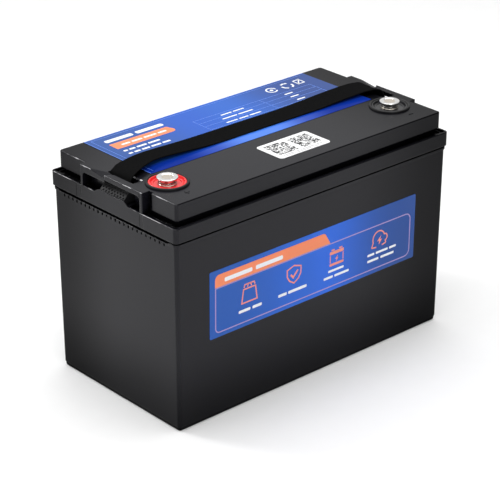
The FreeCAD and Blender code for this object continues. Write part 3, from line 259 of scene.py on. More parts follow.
# ---- materials -----------------------------------------------------------------------------------
class Finish:
    """A node material: a Principled surface whose colour, roughness and normal vary over the piece."""

    def __init__(self, name, dark, light, rough, grain, relief, stretch=(1, 1, 1), edge=0.0,
                 worn=None, **surface):
        self.material = bpy.data.materials.new(name)
        self.material.use_nodes = True
        self.tree = self.material.node_tree
        self.surface = self.tree.nodes["Principled BSDF"]
        for key, value in surface.items():
            self.surface.inputs[key.replace("_", " ").title().replace("Ior", "IOR")].default_value = value
        self.place = self.add("ShaderNodeTexCoord").outputs["Object"]
        fine = self.noise(grain, 4.0, stretch)
        broad = self.noise(SMUDGE_SCALE, 3.0)
        self.color = self.mix(fine, dark, light)
        self.rough = self.remap(broad, 0.3, 0.7, *rough)
        self.normal = self.sheen = None
        if edge:
            bevel = self.add("ShaderNodeBevel", samples=6)
            bevel.inputs["Radius"].default_value = edge
            self.normal = bevel.outputs["Normal"]
            if worn:
                flat = self.add("ShaderNodeNewGeometry").outputs["Normal"]
                dot = self.add("ShaderNodeVectorMath", operation="DOT_PRODUCT")
                self.link(self.normal, dot.inputs[0])
                self.link(flat, dot.inputs[1])
                amount = self.remap(dot.outputs["Value"], 0.995, 0.84, 0.0, 1.0)
                patches = self.remap(self.noise(260.0, 5.0), 0.45, 0.62, 0.15, 1.0)
                self.color = self.mix(self.math("MULTIPLY", amount, patches), self.color, worn)
                self.rough = self.between(amount, self.rough, EDGE_ROUGHNESS)
        self.bump(fine, relief)

    def add(self, kind, **settings):
        """A new node with those settings."""
        node = self.tree.nodes.new(kind)
        for key, value in settings.items():
            setattr(node, key, value)
        return node

    def link(self, output, socket):
        """Joins an output to a socket."""
        self.tree.links.new(output, socket)

    def scaled(self, stretch):
        """The piece's own coordinates, stretched."""
        mapping = self.add("ShaderNodeMapping")
        mapping.inputs["Scale"].default_value = stretch
        self.link(self.place, mapping.inputs["Vector"])
        return mapping.outputs["Vector"]

    def noise(self, scale, detail, stretch=(1, 1, 1)):
        """Soft noise over the piece."""
        node = self.add("ShaderNodeTexNoise")
        self.link(self.scaled(stretch), node.inputs["Vector"])
        node.inputs["Scale"].default_value = scale
        node.inputs["Detail"].default_value = detail
        return node.outputs["Fac"]

    def cells(self, scale, stretch=(1, 1, 1), feature="F1"):
        """Distances in a pattern of cells over the piece."""
        node = self.add("ShaderNodeTexVoronoi", feature=feature)
        self.link(self.scaled(stretch), node.inputs["Vector"])
        node.inputs["Scale"].default_value = scale
        return node.outputs["Distance"]

    def axis(self, name):
        """One coordinate of the piece."""
        split = self.add("ShaderNodeSeparateXYZ")
        self.link(self.place, split.inputs[0])
        return split.outputs[name]

    def math(self, operation, a, b=None):
        """A sum of two outputs or numbers, by the operation's name."""
        node = self.add("ShaderNodeMath", operation=operation)
        for socket, value in zip(node.inputs, (a, b)):
            if isinstance(value, (int, float)):
                socket.default_value = value
            elif value is not None:
                self.link(value, socket)
        return node.outputs[0]

    def remap(self, value, low, high, to_low, to_high):
        """The value taken softly from one range to another, and held at its ends."""
        node = self.add("ShaderNodeMapRange", interpolation_type="SMOOTHSTEP")
        self.link(value, node.inputs["Value"])
        for key, number in (("From Min", low), ("From Max", high), ("To Min", to_low), ("To Max", to_high)):
            node.inputs[key].default_value = number
        return node.outputs["Result"]

    def mix(self, amount, a, b):
        """Two colours mixed."""
        node = self.add("ShaderNodeMix", data_type="RGBA")
        for socket, value in ((node.inputs[0], amount), (node.inputs[6], a), (node.inputs[7], b)):
            if isinstance(value, tuple):
                socket.default_value = (*value, 1.0)
            else:
                self.link(value, socket)
        return node.outputs[2]

    def between(self, amount, a, b):
        """Two numbers mixed."""
        node = self.add("ShaderNodeMix", data_type="FLOAT")
        for socket, value in zip(node.inputs, (amount, a, b)):
            if isinstance(value, float):
                socket.default_value = value
            else:
                self.link(value, socket)
        return node.outputs[0]

    def dull(self, amount):
        """Weakens the sheen by a factor from 0 to 1."""
        self.sheen = amount if self.sheen is None else self.math("MULTIPLY", amount, self.sheen)

    def fade(self, amount):
        """Weakens the colour and the sheen together by a factor from 0 to 1."""
        self.dull(amount)
        self.color = self.mix(amount, (0.0, 0.0, 0.0), self.color)

    def crevices(self, distance):
        """Darkens the places that little light gets into, within that distance of a wall."""
        node = self.add("ShaderNodeAmbientOcclusion", samples=8)
        node.inputs["Distance"].default_value = distance
        self.fade(self.remap(node.outputs["AO"], 0.30, 0.85, 0.06, 1.0))

    def ramp(self, value, stops):
        """The colour between the stops at that value."""
        node = self.add("ShaderNodeValToRGB")
        node.color_ramp.interpolation = "EASE"
        self.link(value, node.inputs["Fac"])
        elements = node.color_ramp.elements
        while len(elements) < len(stops):
            elements.new(0.5)
        for element, (position, color) in zip(elements, stops):
            element.position, element.color = position, (*color, 1.0)
        return node.outputs["Color"]

    def bump(self, height, distance):
        """Adds relief of that depth, in metres, to the surface's normal."""
        node = self.add("ShaderNodeBump")
        node.inputs["Distance"].default_value = distance
        self.link(height, node.inputs["Height"])
        if self.normal is not None:
            self.link(self.normal, node.inputs["Normal"])
        self.normal = node.outputs["Normal"]

    def done(self):
        """The finished material."""
        self.link(self.color, self.surface.inputs["Base Color"])
        self.link(self.rough, self.surface.inputs["Roughness"])
        self.link(self.normal, self.surface.inputs["Normal"])
        if self.sheen is not None:
            level = self.surface.inputs["Specular IOR Level"]
            self.link(self.math("MULTIPLY", self.sheen, level.default_value), level)
        return self.material


def case_plastic():
    """Black ABS with a fine spark-eroded grain and softly polished edges.

    Shade is painted into its colour and sheen towards the foot, the right end and the rear of the left end,
    as in the photo.
    Highlights are painted in patches on the upper edges that face left, and shade on those that face the
    front.
    """
    finish = Finish("case_plastic", (0.0058, 0.0058, 0.0088), (0.0078, 0.0078, 0.0110), (0.40, 0.47),
                    1500.0, 0.000018, edge=0.0006, worn=(0.030, 0.030, 0.034), specular_ior_level=0.215)
    finish.bump(finish.cells(900.0), 0.000008)
    x, y, z = finish.axis("X"), finish.axis("Y"), finish.axis("Z")
    rear_left = finish.math("SUBTRACT", y, finish.math("MULTIPLY", x, 0.5))
    # painted shade: colour and sheen darkened towards the foot, the right end and the rear of the left end
    foot = finish.remap(z, FOOT_SHADE_PAINT[0], FOOT_SHADE_PAINT[1], FOOT_SHADE_PAINT[2], 1.0)
    right = finish.remap(x, RIGHT_SHADE_PAINT[0], RIGHT_SHADE_PAINT[1], 1.0, RIGHT_SHADE_PAINT[2])
    rear = finish.remap(rear_left, REAR_SHADE_PAINT[0], REAR_SHADE_PAINT[1], 1.0, REAR_SHADE_PAINT[2])
    finish.fade(finish.math("MULTIPLY", foot, finish.math("MULTIPLY", right, rear)))
    finish.crevices(CREVICE_REACH)
    paint_edge_light_and_shade(finish)
    mark_seams(finish)
    return finish.done()


def paint_edge_light_and_shade(finish):
    """Paints highlights in patches on the upper edges that face left, and paints shade on the ones in front.
    """
    facing = finish.add("ShaderNodeSeparateXYZ")
    finish.link(finish.add("ShaderNodeNewGeometry").outputs["Normal"], facing.inputs[0])
    upward = finish.remap(facing.outputs["Z"], 0.25, 0.50, 0.0, 1.0)
    left = finish.math("MULTIPLY", upward, finish.remap(facing.outputs["X"], -0.60, -0.38, 1.0, 0.0))
    front = finish.math("MULTIPLY", upward, finish.remap(facing.outputs["Y"], -0.60, -0.38, 1.0, 0.0))
    # painted shade on the upper edges that face the front
    finish.fade(finish.remap(front, 0.0, 1.0, 1.0, FRONT_EDGE_SHADE_PAINT))
    # painted highlights, in patches, on the upper edges that face left
    patches = finish.remap(finish.noise(75.0, 2.0), 0.47, 0.60, 0.06, 1.0)
    finish.color = finish.mix(finish.math("MULTIPLY", left, patches), finish.color, EDGE_HIGHLIGHT_PAINT)


def mark_seams(finish):
    """Draws the fine upright lines in the collar's end faces."""
    above = finish.remap(finish.axis("Z"), SEAM_FROM_Z, SEAM_FROM_Z + 0.0002, 0.0, 1.0)
    from_middle = finish.math("ABSOLUTE", finish.axis("X"))
    outside = finish.remap(from_middle, SEAM_FROM_X, SEAM_FROM_X + 0.0005, 0.0, 1.0)
    collar = finish.math("MULTIPLY", above, outside)
    for seam in COLLAR_SEAMS:
        aside = finish.math("ABSOLUTE", finish.math("SUBTRACT", finish.axis("Y"), seam))
        line = finish.math("MULTIPLY", collar, finish.remap(aside, 0.0003, 0.0006, 1.0, 0.0))
        finish.fade(finish.remap(line, 0.0, 1.0, 1.0, SEAM_SHEEN))


def anchor_plastic():
    """Dull black moulding, greyer where it is rubbed, with its dimples in shade."""
    finish = Finish("anchor_plastic", (0.0085, 0.0085, 0.0095), (0.015, 0.015, 0.017), (0.52, 0.62), 1100.0,
                    0.00003, edge=0.0003, specular_ior_level=0.3)
    finish.crevices(0.0011)
    return finish.done()


def webbing():
    """Black polyester webbing: the yarns are modelled, this adds their filaments."""
    return plain("webbing", (0.0024, 0.0024, 0.0025), (0.0110, 0.0110, 0.0112), (0.62, 0.74), 2000.0,
                 0.000035, stretch=(0.25, 1.0, 1.0), specular_ior_level=0.0)


def blue_label():
    """Printed polyester film: the blue is brightest in the middle and deepens to both ends.

    The strip in front of the strap has the strap's shadow painted into it: its blue deepens faster towards
    both ends, where its sheen is taken away too.
    """
    finish = Finish("blue_label", (0.0, 0.0, 0.0), (1.0, 1.0, 1.0), (0.11, 0.15), 900.0, 0.000001,
                    specular_ior_level=0.29)
    along = finish.remap(finish.axis("X"), -0.135, 0.135, 0.0, 1.0)
    top = finish.ramp(along, ((0.0, (0.012, 0.070, 0.288)), (0.34, (0.002, 0.080, 0.465)),
                              (0.60, (0.003, 0.096, 0.475)), (1.0, (0.003, 0.042, 0.218))))
    front = finish.ramp(along, ((0.0, (0.010, 0.090, 0.42)), (0.40, (0.013, 0.120, 0.62)),
                                (0.56, (0.015, 0.130, 0.70)), (1.0, (0.006, 0.060, 0.29))))
    on_lid = finish.remap(finish.axis("Z"), LID_FROM, LID_TO, 0.0, 1.0)
    finish.color = finish.mix(on_lid, front, top)
    in_front = finish.remap(finish.axis("Y"), STRIP_FROM, STRIP_TO, 1.0, 0.0)
    before_strap = finish.math("MULTIPLY", on_lid, in_front)
    ends = finish.remap(finish.math("ABSOLUTE", finish.axis("X")), 0.0, STRIP_SHADE_LENGTH, 0.0, 1.0)
    # the strap's painted shadow on the strip before it, deepening towards both ends
    strip = finish.ramp(ends, ((0.0, (0.050, 0.180, 0.70)), (0.6, (0.008, 0.050, 0.37)),
                               (1.0, (0.003, 0.022, 0.23))))
    finish.color = finish.mix(before_strap, finish.color, strip)
    # painted shade: the strip loses its sheen towards both ends
    finish.dull(finish.remap(finish.math("MULTIPLY", ends, before_strap), 0.0, 1.0, 1.0, 0.05))
    return finish.done()


def bolt_plating():
    """White zinc with a warmer, unplated middle in the recess of the head."""
    finish = Finish("bolt_plating", (0.92, 0.91, 0.89), (0.97, 0.96, 0.94), (0.20, 0.28), 1400.0, 0.000006,
                    stretch=(1, 1, 4), edge=0.0002, metallic=1.0)
    x = finish.math("SUBTRACT", finish.math("ABSOLUTE", finish.axis("X")), BOLT_CENTRE[0] * MM)
    y = finish.math("SUBTRACT", finish.axis("Y"), BOLT_CENTRE[1] * MM)
    squares = finish.math("ADD", finish.math("MULTIPLY", x, x), finish.math("MULTIPLY", y, y))
    brass = finish.remap(finish.math("SQRT", squares), 0.82 * BRASS_RADIUS * MM, BRASS_RADIUS * MM, 0.0, 1.0)
    finish.color = finish.mix(brass, (0.84, 0.76, 0.66), finish.color)
    finish.crevices(0.004)
    return finish.done()


def circuit_board():
    """Green solder mask over copper tracks."""
    finish = Finish("circuit_board", (0.004, 0.075, 0.028), (0.006, 0.095, 0.036), (0.30, 0.42),
                    700.0, 0.00001, specular_ior_level=0.5)
    tracks = finish.cells(190.0, (1.0, 1.0, 0.01), "DISTANCE_TO_EDGE")
    line = finish.remap(tracks, 0.05, 0.09, 1.0, 0.0)
    finish.color = finish.mix(line, finish.color, (0.03, 0.22, 0.08))
    finish.bump(line, 0.00004)
    return finish.done()


def foam():
    """Closed-cell foam: a skin of small burst bubbles."""
    finish = Finish("foam", (0.030, 0.030, 0.033), (0.055, 0.055, 0.060), (0.85, 0.95), 800.0, 0.0001,
                    specular_ior_level=0.2)
    bubbles = finish.remap(finish.cells(520.0), 0.15, 0.5, 0.0, 1.0)
    finish.bump(bubbles, 0.0004)
    finish.color = finish.mix(bubbles, (0.012, 0.012, 0.013), finish.color)
    return finish.done()


def brushed(name, dark, light, rough, stretch):
    """Bare or plated metal with fine lines along one axis."""
    return Finish(name, dark, light, rough, 1400.0, 0.000006, stretch=stretch, edge=0.0002,
                  worn=tuple(min(1.0, 1.15 * c) for c in light), metallic=1.0).done()


def plain(name, dark, light, rough, grain, relief, **more):
    """A material with nothing beyond its grain, smudges and edges."""
    return Finish(name, dark, light, rough, grain, relief, **more).done()


def ink(name, dark, light, rough=(0.32, 0.40)):
    """Printing ink, which is smooth."""
    return plain(name, dark, light, rough, 900.0, 0.000002)


MATERIALS = {
    "case_plastic": case_plastic(),
    "webbing": webbing(),
    "anchor_plastic": anchor_plastic(),
    "bolt_plating": bolt_plating(),
    "red_plastic": plain("red_plastic", (0.80, 0.022, 0.024), (0.86, 0.030, 0.032), (0.16, 0.24), 400.0,
                         0.000006, edge=0.0002, coat_weight=0.35, coat_roughness=0.12),
    "black_plastic": plain("black_plastic", (0.009, 0.009, 0.010), (0.013, 0.013, 0.015), (0.20, 0.30),
                           500.0, 0.000008, edge=0.0002, specular_ior_level=0.5),
    "seal_rubber": plain("seal_rubber", (0.0045, 0.0045, 0.005), (0.008, 0.008, 0.009), (0.42, 0.55),
                         1300.0, 0.00002, specular_ior_level=0.35),
    "plated_brass": brushed("plated_brass", (0.42, 0.39, 0.34), (0.52, 0.49, 0.43), (0.22, 0.30), (1, 1, 4)),
    "plated_steel": brushed("plated_steel", (0.36, 0.35, 0.34), (0.48, 0.47, 0.45), (0.20, 0.30), (1, 1, 4)),
    "blue_label": blue_label(),
    "white_sticker": plain("white_sticker", (0.80, 0.80, 0.80), (0.84, 0.84, 0.84), (0.38, 0.48), 900.0,
                           0.000004),
    "sealant": plain("sealant", (0.02, 0.02, 0.02), (0.04, 0.04, 0.04), (0.35, 0.5), 300.0, 0.00008),
    "foam": foam(),
    "cell_can": plain("cell_can", (0.018, 0.075, 0.26), (0.028, 0.105, 0.34), (0.26, 0.38), 120.0, 0.00002,
                      edge=0.0004, worn=(0.20, 0.32, 0.55), coat_weight=0.4, coat_roughness=0.2),
    "cell_aluminium": brushed("cell_aluminium", (0.62, 0.63, 0.65), (0.74, 0.75, 0.77), (0.28, 0.40),
                              (0.15, 1, 1)),
    "insulating_board": plain("insulating_board", (0.42, 0.34, 0.13), (0.55, 0.46, 0.20), (0.40, 0.52),
                              900.0, 0.00003, edge=0.0002),
    "copper": brushed("copper", (0.72, 0.30, 0.16), (0.84, 0.40, 0.24), (0.22, 0.34), (0.12, 1, 1)),
    "steel_band": brushed("steel_band", (0.42, 0.42, 0.44), (0.56, 0.56, 0.58), (0.30, 0.42), (0.1, 0.1, 1)),
    "circuit_board": circuit_board(),
    "chip_black": plain("chip_black", (0.010, 0.010, 0.011), (0.018, 0.018, 0.019), (0.42, 0.55), 1800.0,
                        0.00002, edge=0.0002),
    "connector_white": plain("connector_white", (0.66, 0.65, 0.60), (0.74, 0.73, 0.68), (0.34, 0.44), 500.0,
                             0.00001, edge=0.0002),
    "red_cable": plain("red_cable", (0.36, 0.010, 0.010), (0.44, 0.014, 0.014), (0.36, 0.48), 500.0, 0.00002),
    "black_cable": plain("black_cable", (0.010, 0.010, 0.011), (0.016, 0.016, 0.017), (0.40, 0.52), 500.0,
                         0.00002),
    "wire": plain("wire", (0.38, 0.38, 0.38), (0.48, 0.48, 0.47), (0.40, 0.50), 700.0, 0.00001),
}
INKS = {
    "white_ink": ink("white_ink", (0.78, 0.80, 0.84), (0.84, 0.86, 0.90)),
    "faint_ink": ink("faint_ink", (0.09, 0.21, 0.70), (0.11, 0.24, 0.74)),
    "orange_ink": ink("orange_ink", (0.86, 0.225, 0.090), (0.90, 0.245, 0.100)),
    "coral_ink": ink("coral_ink", (0.80, 0.24, 0.16), (0.84, 0.27, 0.19)),
    "lilac_ink": ink("lilac_ink", (0.32, 0.24, 0.50), (0.36, 0.27, 0.54)),
    "black_ink": ink("black_ink", (0.010, 0.010, 0.011), (0.014, 0.014, 0.015), (0.40, 0.5)),
    "grey_ink": ink("grey_ink", (0.30, 0.30, 0.31), (0.34, 0.34, 0.35), (0.40, 0.5)),
}


def finish_cad_nodes():
    """Every carried-over CAD node gets its slot's material."""
    for part in frame["record"]["subparts"]:
        obj = frame["nodes"][part["node"]]
        obj.data.materials.clear()
        obj.data.materials.append(MATERIALS[part["material_slot"]])


# ---- strap ---------------------------------------------------------------------------------------
def smooth_curve(keys, samples):
    """A curve through the key rows, as an array of evenly spaced rows (by the first three columns)."""
    keys = np.array(keys, float)
    span = np.r_[0, np.cumsum(np.linalg.norm(np.diff(keys[:, :3], axis=0), axis=1))]
    slopes = np.gradient(keys, span, axis=0)
    at = np.linspace(0, span[-1], samples)
    i = np.clip(np.searchsorted(span, at, "right") - 1, 0, len(span) - 2)
    h = (span[i + 1] - span[i])[:, None]
    t = ((at - span[i]) / h[:, 0])[:, None]
    return ((2 * t**3 - 3 * t**2 + 1) * keys[i] + (t**3 - 2 * t**2 + t) * h * slopes[i]
            + (3 * t**2 - 2 * t**3) * keys[i + 1] + (t**3 - t**2) * h * slopes[i + 1])


def weave(along, across):
    """Height of herringbone webbing, 0 to 1: yarns that float over and dive under in turn."""
    yarn = np.floor(across / WARP_PITCH)
    middle = (across / WARP_PITCH - yarn - 0.5) * 2
    turn = np.floor(yarn / CHEVRON_YARNS) % 2
    step = yarn % CHEVRON_YARNS
    phase = np.where(turn == 0, step, CHEVRON_YARNS - step) / CHEVRON_YARNS
    lift = 0.5 + 0.5 * np.cos(2 * math.pi * (along / FLOAT_LENGTH + phase))
    edge = np.minimum(across, STRAP_WIDTH - across) < WARP_PITCH
    lift = np.where(edge, 0.8, lift)
    return np.sqrt(np.clip(1 - 0.75 * middle**2, 0, 1)) * (0.35 + 0.65 * lift)


def strap_half(name, side, lying, turning):
    """Half of the strap, from the middle of its span down into its anchor."""
    label_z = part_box("top_label")[1].z / MM
    keys = [(x, y, label_z + h, roll, 0) for x, y, h, roll in lying]
    keys += [(x, y, z, 0, yaw) for x, y, z, yaw in turning]
    keys += [(side * STRAP_LEG_X, 0, z, 0, 0) for z in STRAP_LEG_Z]
    length = sum(math.dist(a[:3], b[:3]) for a, b in zip(keys, keys[1:]))
    rows = smooth_curve(keys, int(length / STRAP_STEP) + 1)
    centre = rows[:, :3]
    ahead = np.gradient(centre, axis=0)
    ahead /= np.linalg.norm(ahead, axis=1)[:, None]
    roll, yaw = np.radians(rows[:, 3]), np.radians(rows[:, 4])
    width = np.stack([side * np.sin(yaw), np.cos(yaw) * np.cos(roll), np.sin(roll)], 1)
    width -= (width * ahead).sum(1)[:, None] * ahead
    width /= np.linalg.norm(width, axis=1)[:, None]
    up = np.cross(ahead, width) * side
    along = side * np.r_[0, np.cumsum(np.linalg.norm(np.diff(centre, axis=0), axis=1))]
    count = int(STRAP_WIDTH / STRAP_STEP)
    across = np.linspace(0, STRAP_WIDTH, count + 1)
    grid_along, grid_across = np.meshgrid(along, across, indexing="ij")
    edge = np.minimum(grid_across, STRAP_WIDTH - grid_across)
    thin = np.clip(edge / SELVEDGE, 0, 1)
    half = STRAP_THICKNESS / 2 * (SELVEDGE_THICKNESS + (1 - SELVEDGE_THICKNESS) * np.sqrt(1 - (1 - thin)**2))
    base = centre[:, None] + width[:, None] * (grid_across - STRAP_WIDTH / 2)[..., None]
    top_height = half - WEAVE_RELIEF * (1 - weave(grid_along, grid_across))
    under_height = half - WEAVE_RELIEF * (1 - weave(grid_along + FLOAT_LENGTH / 2, grid_across))
    top = base + up[:, None] * top_height[..., None]
    under = base - up[:, None] * under_height[..., None]
    rows_count, columns = top.shape[:2]
    verts = np.concatenate([top.reshape(-1, 3), under.reshape(-1, 3)])
    shift = rows_count * columns
    index = np.arange(shift).reshape(rows_count, columns)
    a, b, c, d = index[:-1, :-1], index[1:, :-1], index[1:, 1:], index[:-1, 1:]
    quads = np.stack([a, b, c, d], -1).reshape(-1, 4)
    faces = [*quads.tolist(), *(quads[:, ::-1] + shift).tolist()]
    for line in (index[:, 0], index[-1, :], index[::-1, -1], index[0, ::-1]):
        faces += [[p, p + shift, q + shift, q] for p, q in zip(line[:-1].tolist(), line[1:].tolist())]
    if side < 0:
        faces = [f[::-1] for f in faces]
    obj = mesh_object(name, verts.tolist(), faces, MATERIALS["webbing"], STRAP_SMOOTH_ANGLE)
    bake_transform(obj)
    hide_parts("handle_strap")


# ---- bolts ---------------------------------------------------------------------------------------
def bolt_profile(shank_z, top_z):
    """(radius, z, kind) from the shank's end to the middle of the head."""
    crest, disc_z = THREAD_RADIUS, top_z - DISC_HEIGHT
    head_z = disc_z - CROWN_HEIGHT
    profile = [(0, shank_z, "plain"), (crest - 1.1, shank_z, "plain"), (crest - 0.6, shank_z + 0.5, "plain")]
    z = shank_z + 0.75
    while z < head_z - 0.6:
        profile.append((crest, z, "thread"))
        z += THREAD_PITCH / 8
    profile += [(crest, head_z - 0.45, "plain"), (crest + 0.15, head_z, "plain")]
    profile += [(CROWN_RADIUS - 1.9, head_z, "plain"), (CROWN_RADIUS - 0.15, head_z, "notched"),
                (CROWN_RADIUS, head_z + 0.15, "notched"), (CROWN_RADIUS, disc_z, "notched")]
    rim = [(DISC_RADIUS - 0.35, disc_z), (DISC_RADIUS - 0.1, disc_z + 0.1), (DISC_RADIUS, disc_z + 0.35),
           (DISC_RADIUS, top_z - 0.5), (DISC_RADIUS - 0.12, top_z - 0.2), (DISC_RADIUS - 0.45, top_z - 0.03),
           (DISC_RADIUS - 0.9, top_z), (6.4, top_z), (6.15, top_z - 0.08), (5.8, top_z - 0.42),
           (5.5, top_z - 0.5), (2.6, top_z - 0.56), (0, top_z - 0.58)]
    return profile + [(r, z, "plain") for r, z in rim]


def notched(angle):
    """How deep the crown is cut at that angle."""
    pitch = 360.0 / NOTCHES
    off = abs((math.degrees(angle) + pitch / 2) % pitch - pitch / 2)
    return NOTCH_DEPTH if off < NOTCH_HALF_ANGLE else 0.0


def threaded(angle, above, length):
    """Depth under the thread's crest: a real helix, faded out towards the plain ends."""
    turn = (above / THREAD_PITCH - angle / (2 * math.pi)) % 1.0
    groove = max(0.0, 1 - abs(turn - 0.5) / 0.42)
    fade = min(1.0, above / THREAD_PITCH, (length - 1.6 - above) / THREAD_PITCH)
    return THREAD_DEPTH * groove * max(0.0, fade)


def bolt(name, node, body):
    """A terminal bolt with a cut helical thread and a notched crown."""
    low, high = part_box(node)
    cx, cy = (low.x + high.x) / 2 / MM, (low.y + high.y) / 2 / MM
    angles = [2 * math.pi * k / BOLT_SIDES for k in range(BOLT_SIDES)]
    for k in range(NOTCHES):
        for edge in (-1, 1):
            middle = k * 360.0 / NOTCHES + edge * NOTCH_HALF_ANGLE
            for corner in (-NOTCH_CORNER, NOTCH_CORNER):
                angles.append(math.radians(middle + corner) % (2 * math.pi))
    angles = sorted(set(round(a, 6) for a in angles))
    shank_z, top_z = low.z / MM, high.z / MM
    length = top_z - DISC_HEIGHT - CROWN_HEIGHT - shank_z
    profile = bolt_profile(shank_z, top_z)
    verts, faces, n = [], [], len(angles)
    for radius, z, kind in profile[1:-1]:
        for angle in angles:
            r = radius - {"plain": 0.0, "notched": notched(angle),
                          "thread": threaded(angle, z - shank_z, length)}[kind]
            verts.append((cx + r * math.cos(angle), cy + r * math.sin(angle), z))
    for row in range(len(profile) - 3):
        for k in range(n):
            a, b = row * n + k, row * n + (k + 1) % n
            faces.append([a, b, b + n, a + n])
    for pole, first, flip in ((profile[0], 0, True), (profile[-1], (len(profile) - 3) * n, False)):
        verts.append((cx, cy, pole[1]))
        centre = len(verts) - 1
        for k in range(n):
            a, b = first + k, first + (k + 1) % n
            faces.append([b, a, centre] if flip else [a, b, centre])
    obj = mesh_object(name, verts, faces, MATERIALS["bolt_plating"], BOLT_SMOOTH_ANGLE)
    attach(obj, body)
    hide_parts(node)


# ---- label drawings ------------------------------------------------------------------------------
def on_top(u, v, height):
    """A point over the lid's labels."""
    return (u, v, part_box("top_label")[1].z / MM + height)


def on_front(u, v, height):
    """A point in front of the front label, which leans with the wall."""
    low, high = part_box("front_label")
    return (u, low.y / MM + (high.z / MM - v) * FRONT_LEAN - height, v - height * FRONT_LEAN)


def on_sticker(u, v, height):
    """A point over the code sticker."""
    return (u, v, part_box("code_sticker")[1].z / MM + height)


def draw_top_label():
    """Border, title bars, orange band, notes, table and marks of the lid's label."""
    white, orange = Print("top_print_white", on_top, 1), Print("top_print_orange", on_top)
    faint, pale = Print("top_print_table", on_top), Print("top_print_border", on_top)
    pale.stroke([(-132.5, -15.4), (-132.5, 78.8), (133.2, 78.8)], 0.6)
    pale.stroke([(-127.5, -12.0), (-127.5, 75.6), (128.0, 75.6)], 0.4)
    white.words(-119, -53, 61.5, 70.5, (7, 7))
    orange.plate([(-120, 46.2), (-56, 46.2), *arc(-56.5, 51, 4.8, -60, 40, 5), (-54.5, 59), (-120, 59)])
    white.words(-111, -60, 50, 54.5, (4, 5, 6, 4))
    white.words(-119, -78, 37, 41.5, (2, 3, 5, 6))
    white.words(-119, -72, 29.5, 34, (2, 3, 4, 5, 4))
    for v in (43.6, 35.0, 26.0):
        faint.stroke([(-28.5, v), (118.0, v)], 0.5)
    faint.stroke([(-28.5, 25.0), (-28.5, 52.0), (118.0, 52.0), (118.0, 25.0)], 0.5)
    faint.stroke([(53.0, 25.0), (53.0, 51.7)], 0.5)
    for u, v, letters, end in ((1, 45.5, (7, 7), 29), (-4, 37.2, (8, 8), 33), (-7, 28.2, (6, 5, 6), 35)):
        white.words(u, end, v, v + 3.2, letters)
        white.words(81, 91, v, v + 3.2, (4,))
    draw_marks(white)
    for pen, material, slot in ((white, "white_ink", "white_sticker"), (orange, "orange_ink", "blue_label"),
                                (faint, "faint_ink", "blue_label"), (pale, "faint_ink", "blue_label")):
        pen.build(slot, INKS[material])


def draw_marks(pen):
    """Three plain marks: a ring with a dot, a loop of three bent bars, and a crossed box."""
    pen.stroke(arc(79.5, 64, 5.3, 0, 330, 22), 1.5)
    pen.plate(arc(79.5, 64, 1.9, 0, 330, 11))
    for turn in (90, 210, 330):
        c = [(98.7 + 6.2 * math.cos(math.radians(turn + d)), 63.2 + 6.2 * math.sin(math.radians(turn + d)))
             for d in (-38, 0, 38)]
        pen.stroke(c, 2.0)
    pen.stroke(rounded(110.8, 118.4, 59.6, 68.6, (1, 1, 1, 1)), 1.3, closed=True)
    pen.stroke([(110.0, 58.6), (119.4, 69.8)], 1.2)


def draw_front_label():
    """Panel, orange tab and four icons of the front label."""
    line, orange = Print("front_print_panel", on_front), Print("front_print_tab", on_front)
    coral, white = Print("front_print_icons", on_front), Print("front_print_white", on_front, 1)
    line.stroke(rounded(-120.3, 119.2, 83, 126.2, (6, 6, 0.6, 4.5)), 1.1, closed=True)
    tab = [(-120.9, 126.9), (16.2, 126.9), (10.8, 136.0), *arc(6.6, 134.2, 4.6, 25, 90, 5),
           *arc(-115.9, 133.8, 5.0, 90, 180, 6)]
    orange.plate(tab)
    white.words(-110, -42, 128.6, 135.2, (7, 7))
    draw_weight(coral, -81.2, 101.7)
    draw_shield(coral, -28.1, 101.7)
    draw_pack(coral, 24.5, 103.3)
    draw_cloud(coral, 79.3, 104.2)
    white.words(-93.8, -66.7, 92, 96.6, (5, 4))
    white.words(-47, -12.5, 92, 96.6, (5, 11))
    white.words(14.2, 33.7, 96.6, 100.4, (7,))
    white.words(8.7, 40.3, 90.6, 94.6, (5, 8))
    white.words(64.2, 101.3, 96.6, 100.4, (4, 7, 4))
    white.words(64.2, 98.7, 90.4, 94.4, (5, 6))
    for pen, material, slot in ((line, "lilac_ink", "blue_label"), (orange, "orange_ink", "blue_label"),
                                (coral, "coral_ink", "blue_label"), (white, "white_ink", "white_sticker")):
        pen.build(slot, INKS[material])


def draw_weight(pen, u, v):
    """A scale weight with a loop on top."""
    pen.stroke([(u - 9.0, v), (u + 9.0, v), (u + 7.0, v + 13.2), (u - 7.0, v + 13.2)], 1.3, closed=True)
    pen.stroke([(u - 6.4, v + 14.8), (u - 5.4, v + 17.6), (u + 5.4, v + 17.6), (u + 6.4, v + 14.8)], 1.3)
    pen.stroke(arc(u, v + 15.2, 2.2, -20, 200, 8), 1.0)


def draw_shield(pen, u, v):
    """A shield with a tick."""
    left = [(u - 8.4, v + 14.6), (u - 8.2, v + 8.0), (u - 5.4, v + 3.4), (u, v)]
    right = [(2 * u - a, b) for a, b in reversed(left[:-1])]
    pen.stroke([*left, *right, (u, v + 17.3)], 1.3, closed=True)
    pen.stroke([(u - 4.0, v + 9.2), (u - 1.0, v + 5.8), (u + 4.6, v + 12.0)], 1.9)


def draw_pack(pen, u, v):
    """A cell pack with a bolt of lightning."""
    pen.bar(u - 8.8, u + 8.8, v + 11.2, v + 14.4, 0.8)
    pen.bar(u - 6.8, u - 2.8, v + 14.9, v + 16.4, 0.3)
    pen.bar(u + 2.8, u + 6.8, v + 14.9, v + 16.4, 0.3)
    pen.stroke([(u - 8.0, v + 10.4), (u - 8.0, v + 3.2)], 1.0)
    pen.stroke([(u + 8.0, v + 10.4), (u + 8.0, v + 3.2)], 1.0)
    pen.bar(u - 8.8, u + 8.8, v, v + 2.4, 0.6)
    lightning(pen, u, v + 3.4, 0.8)


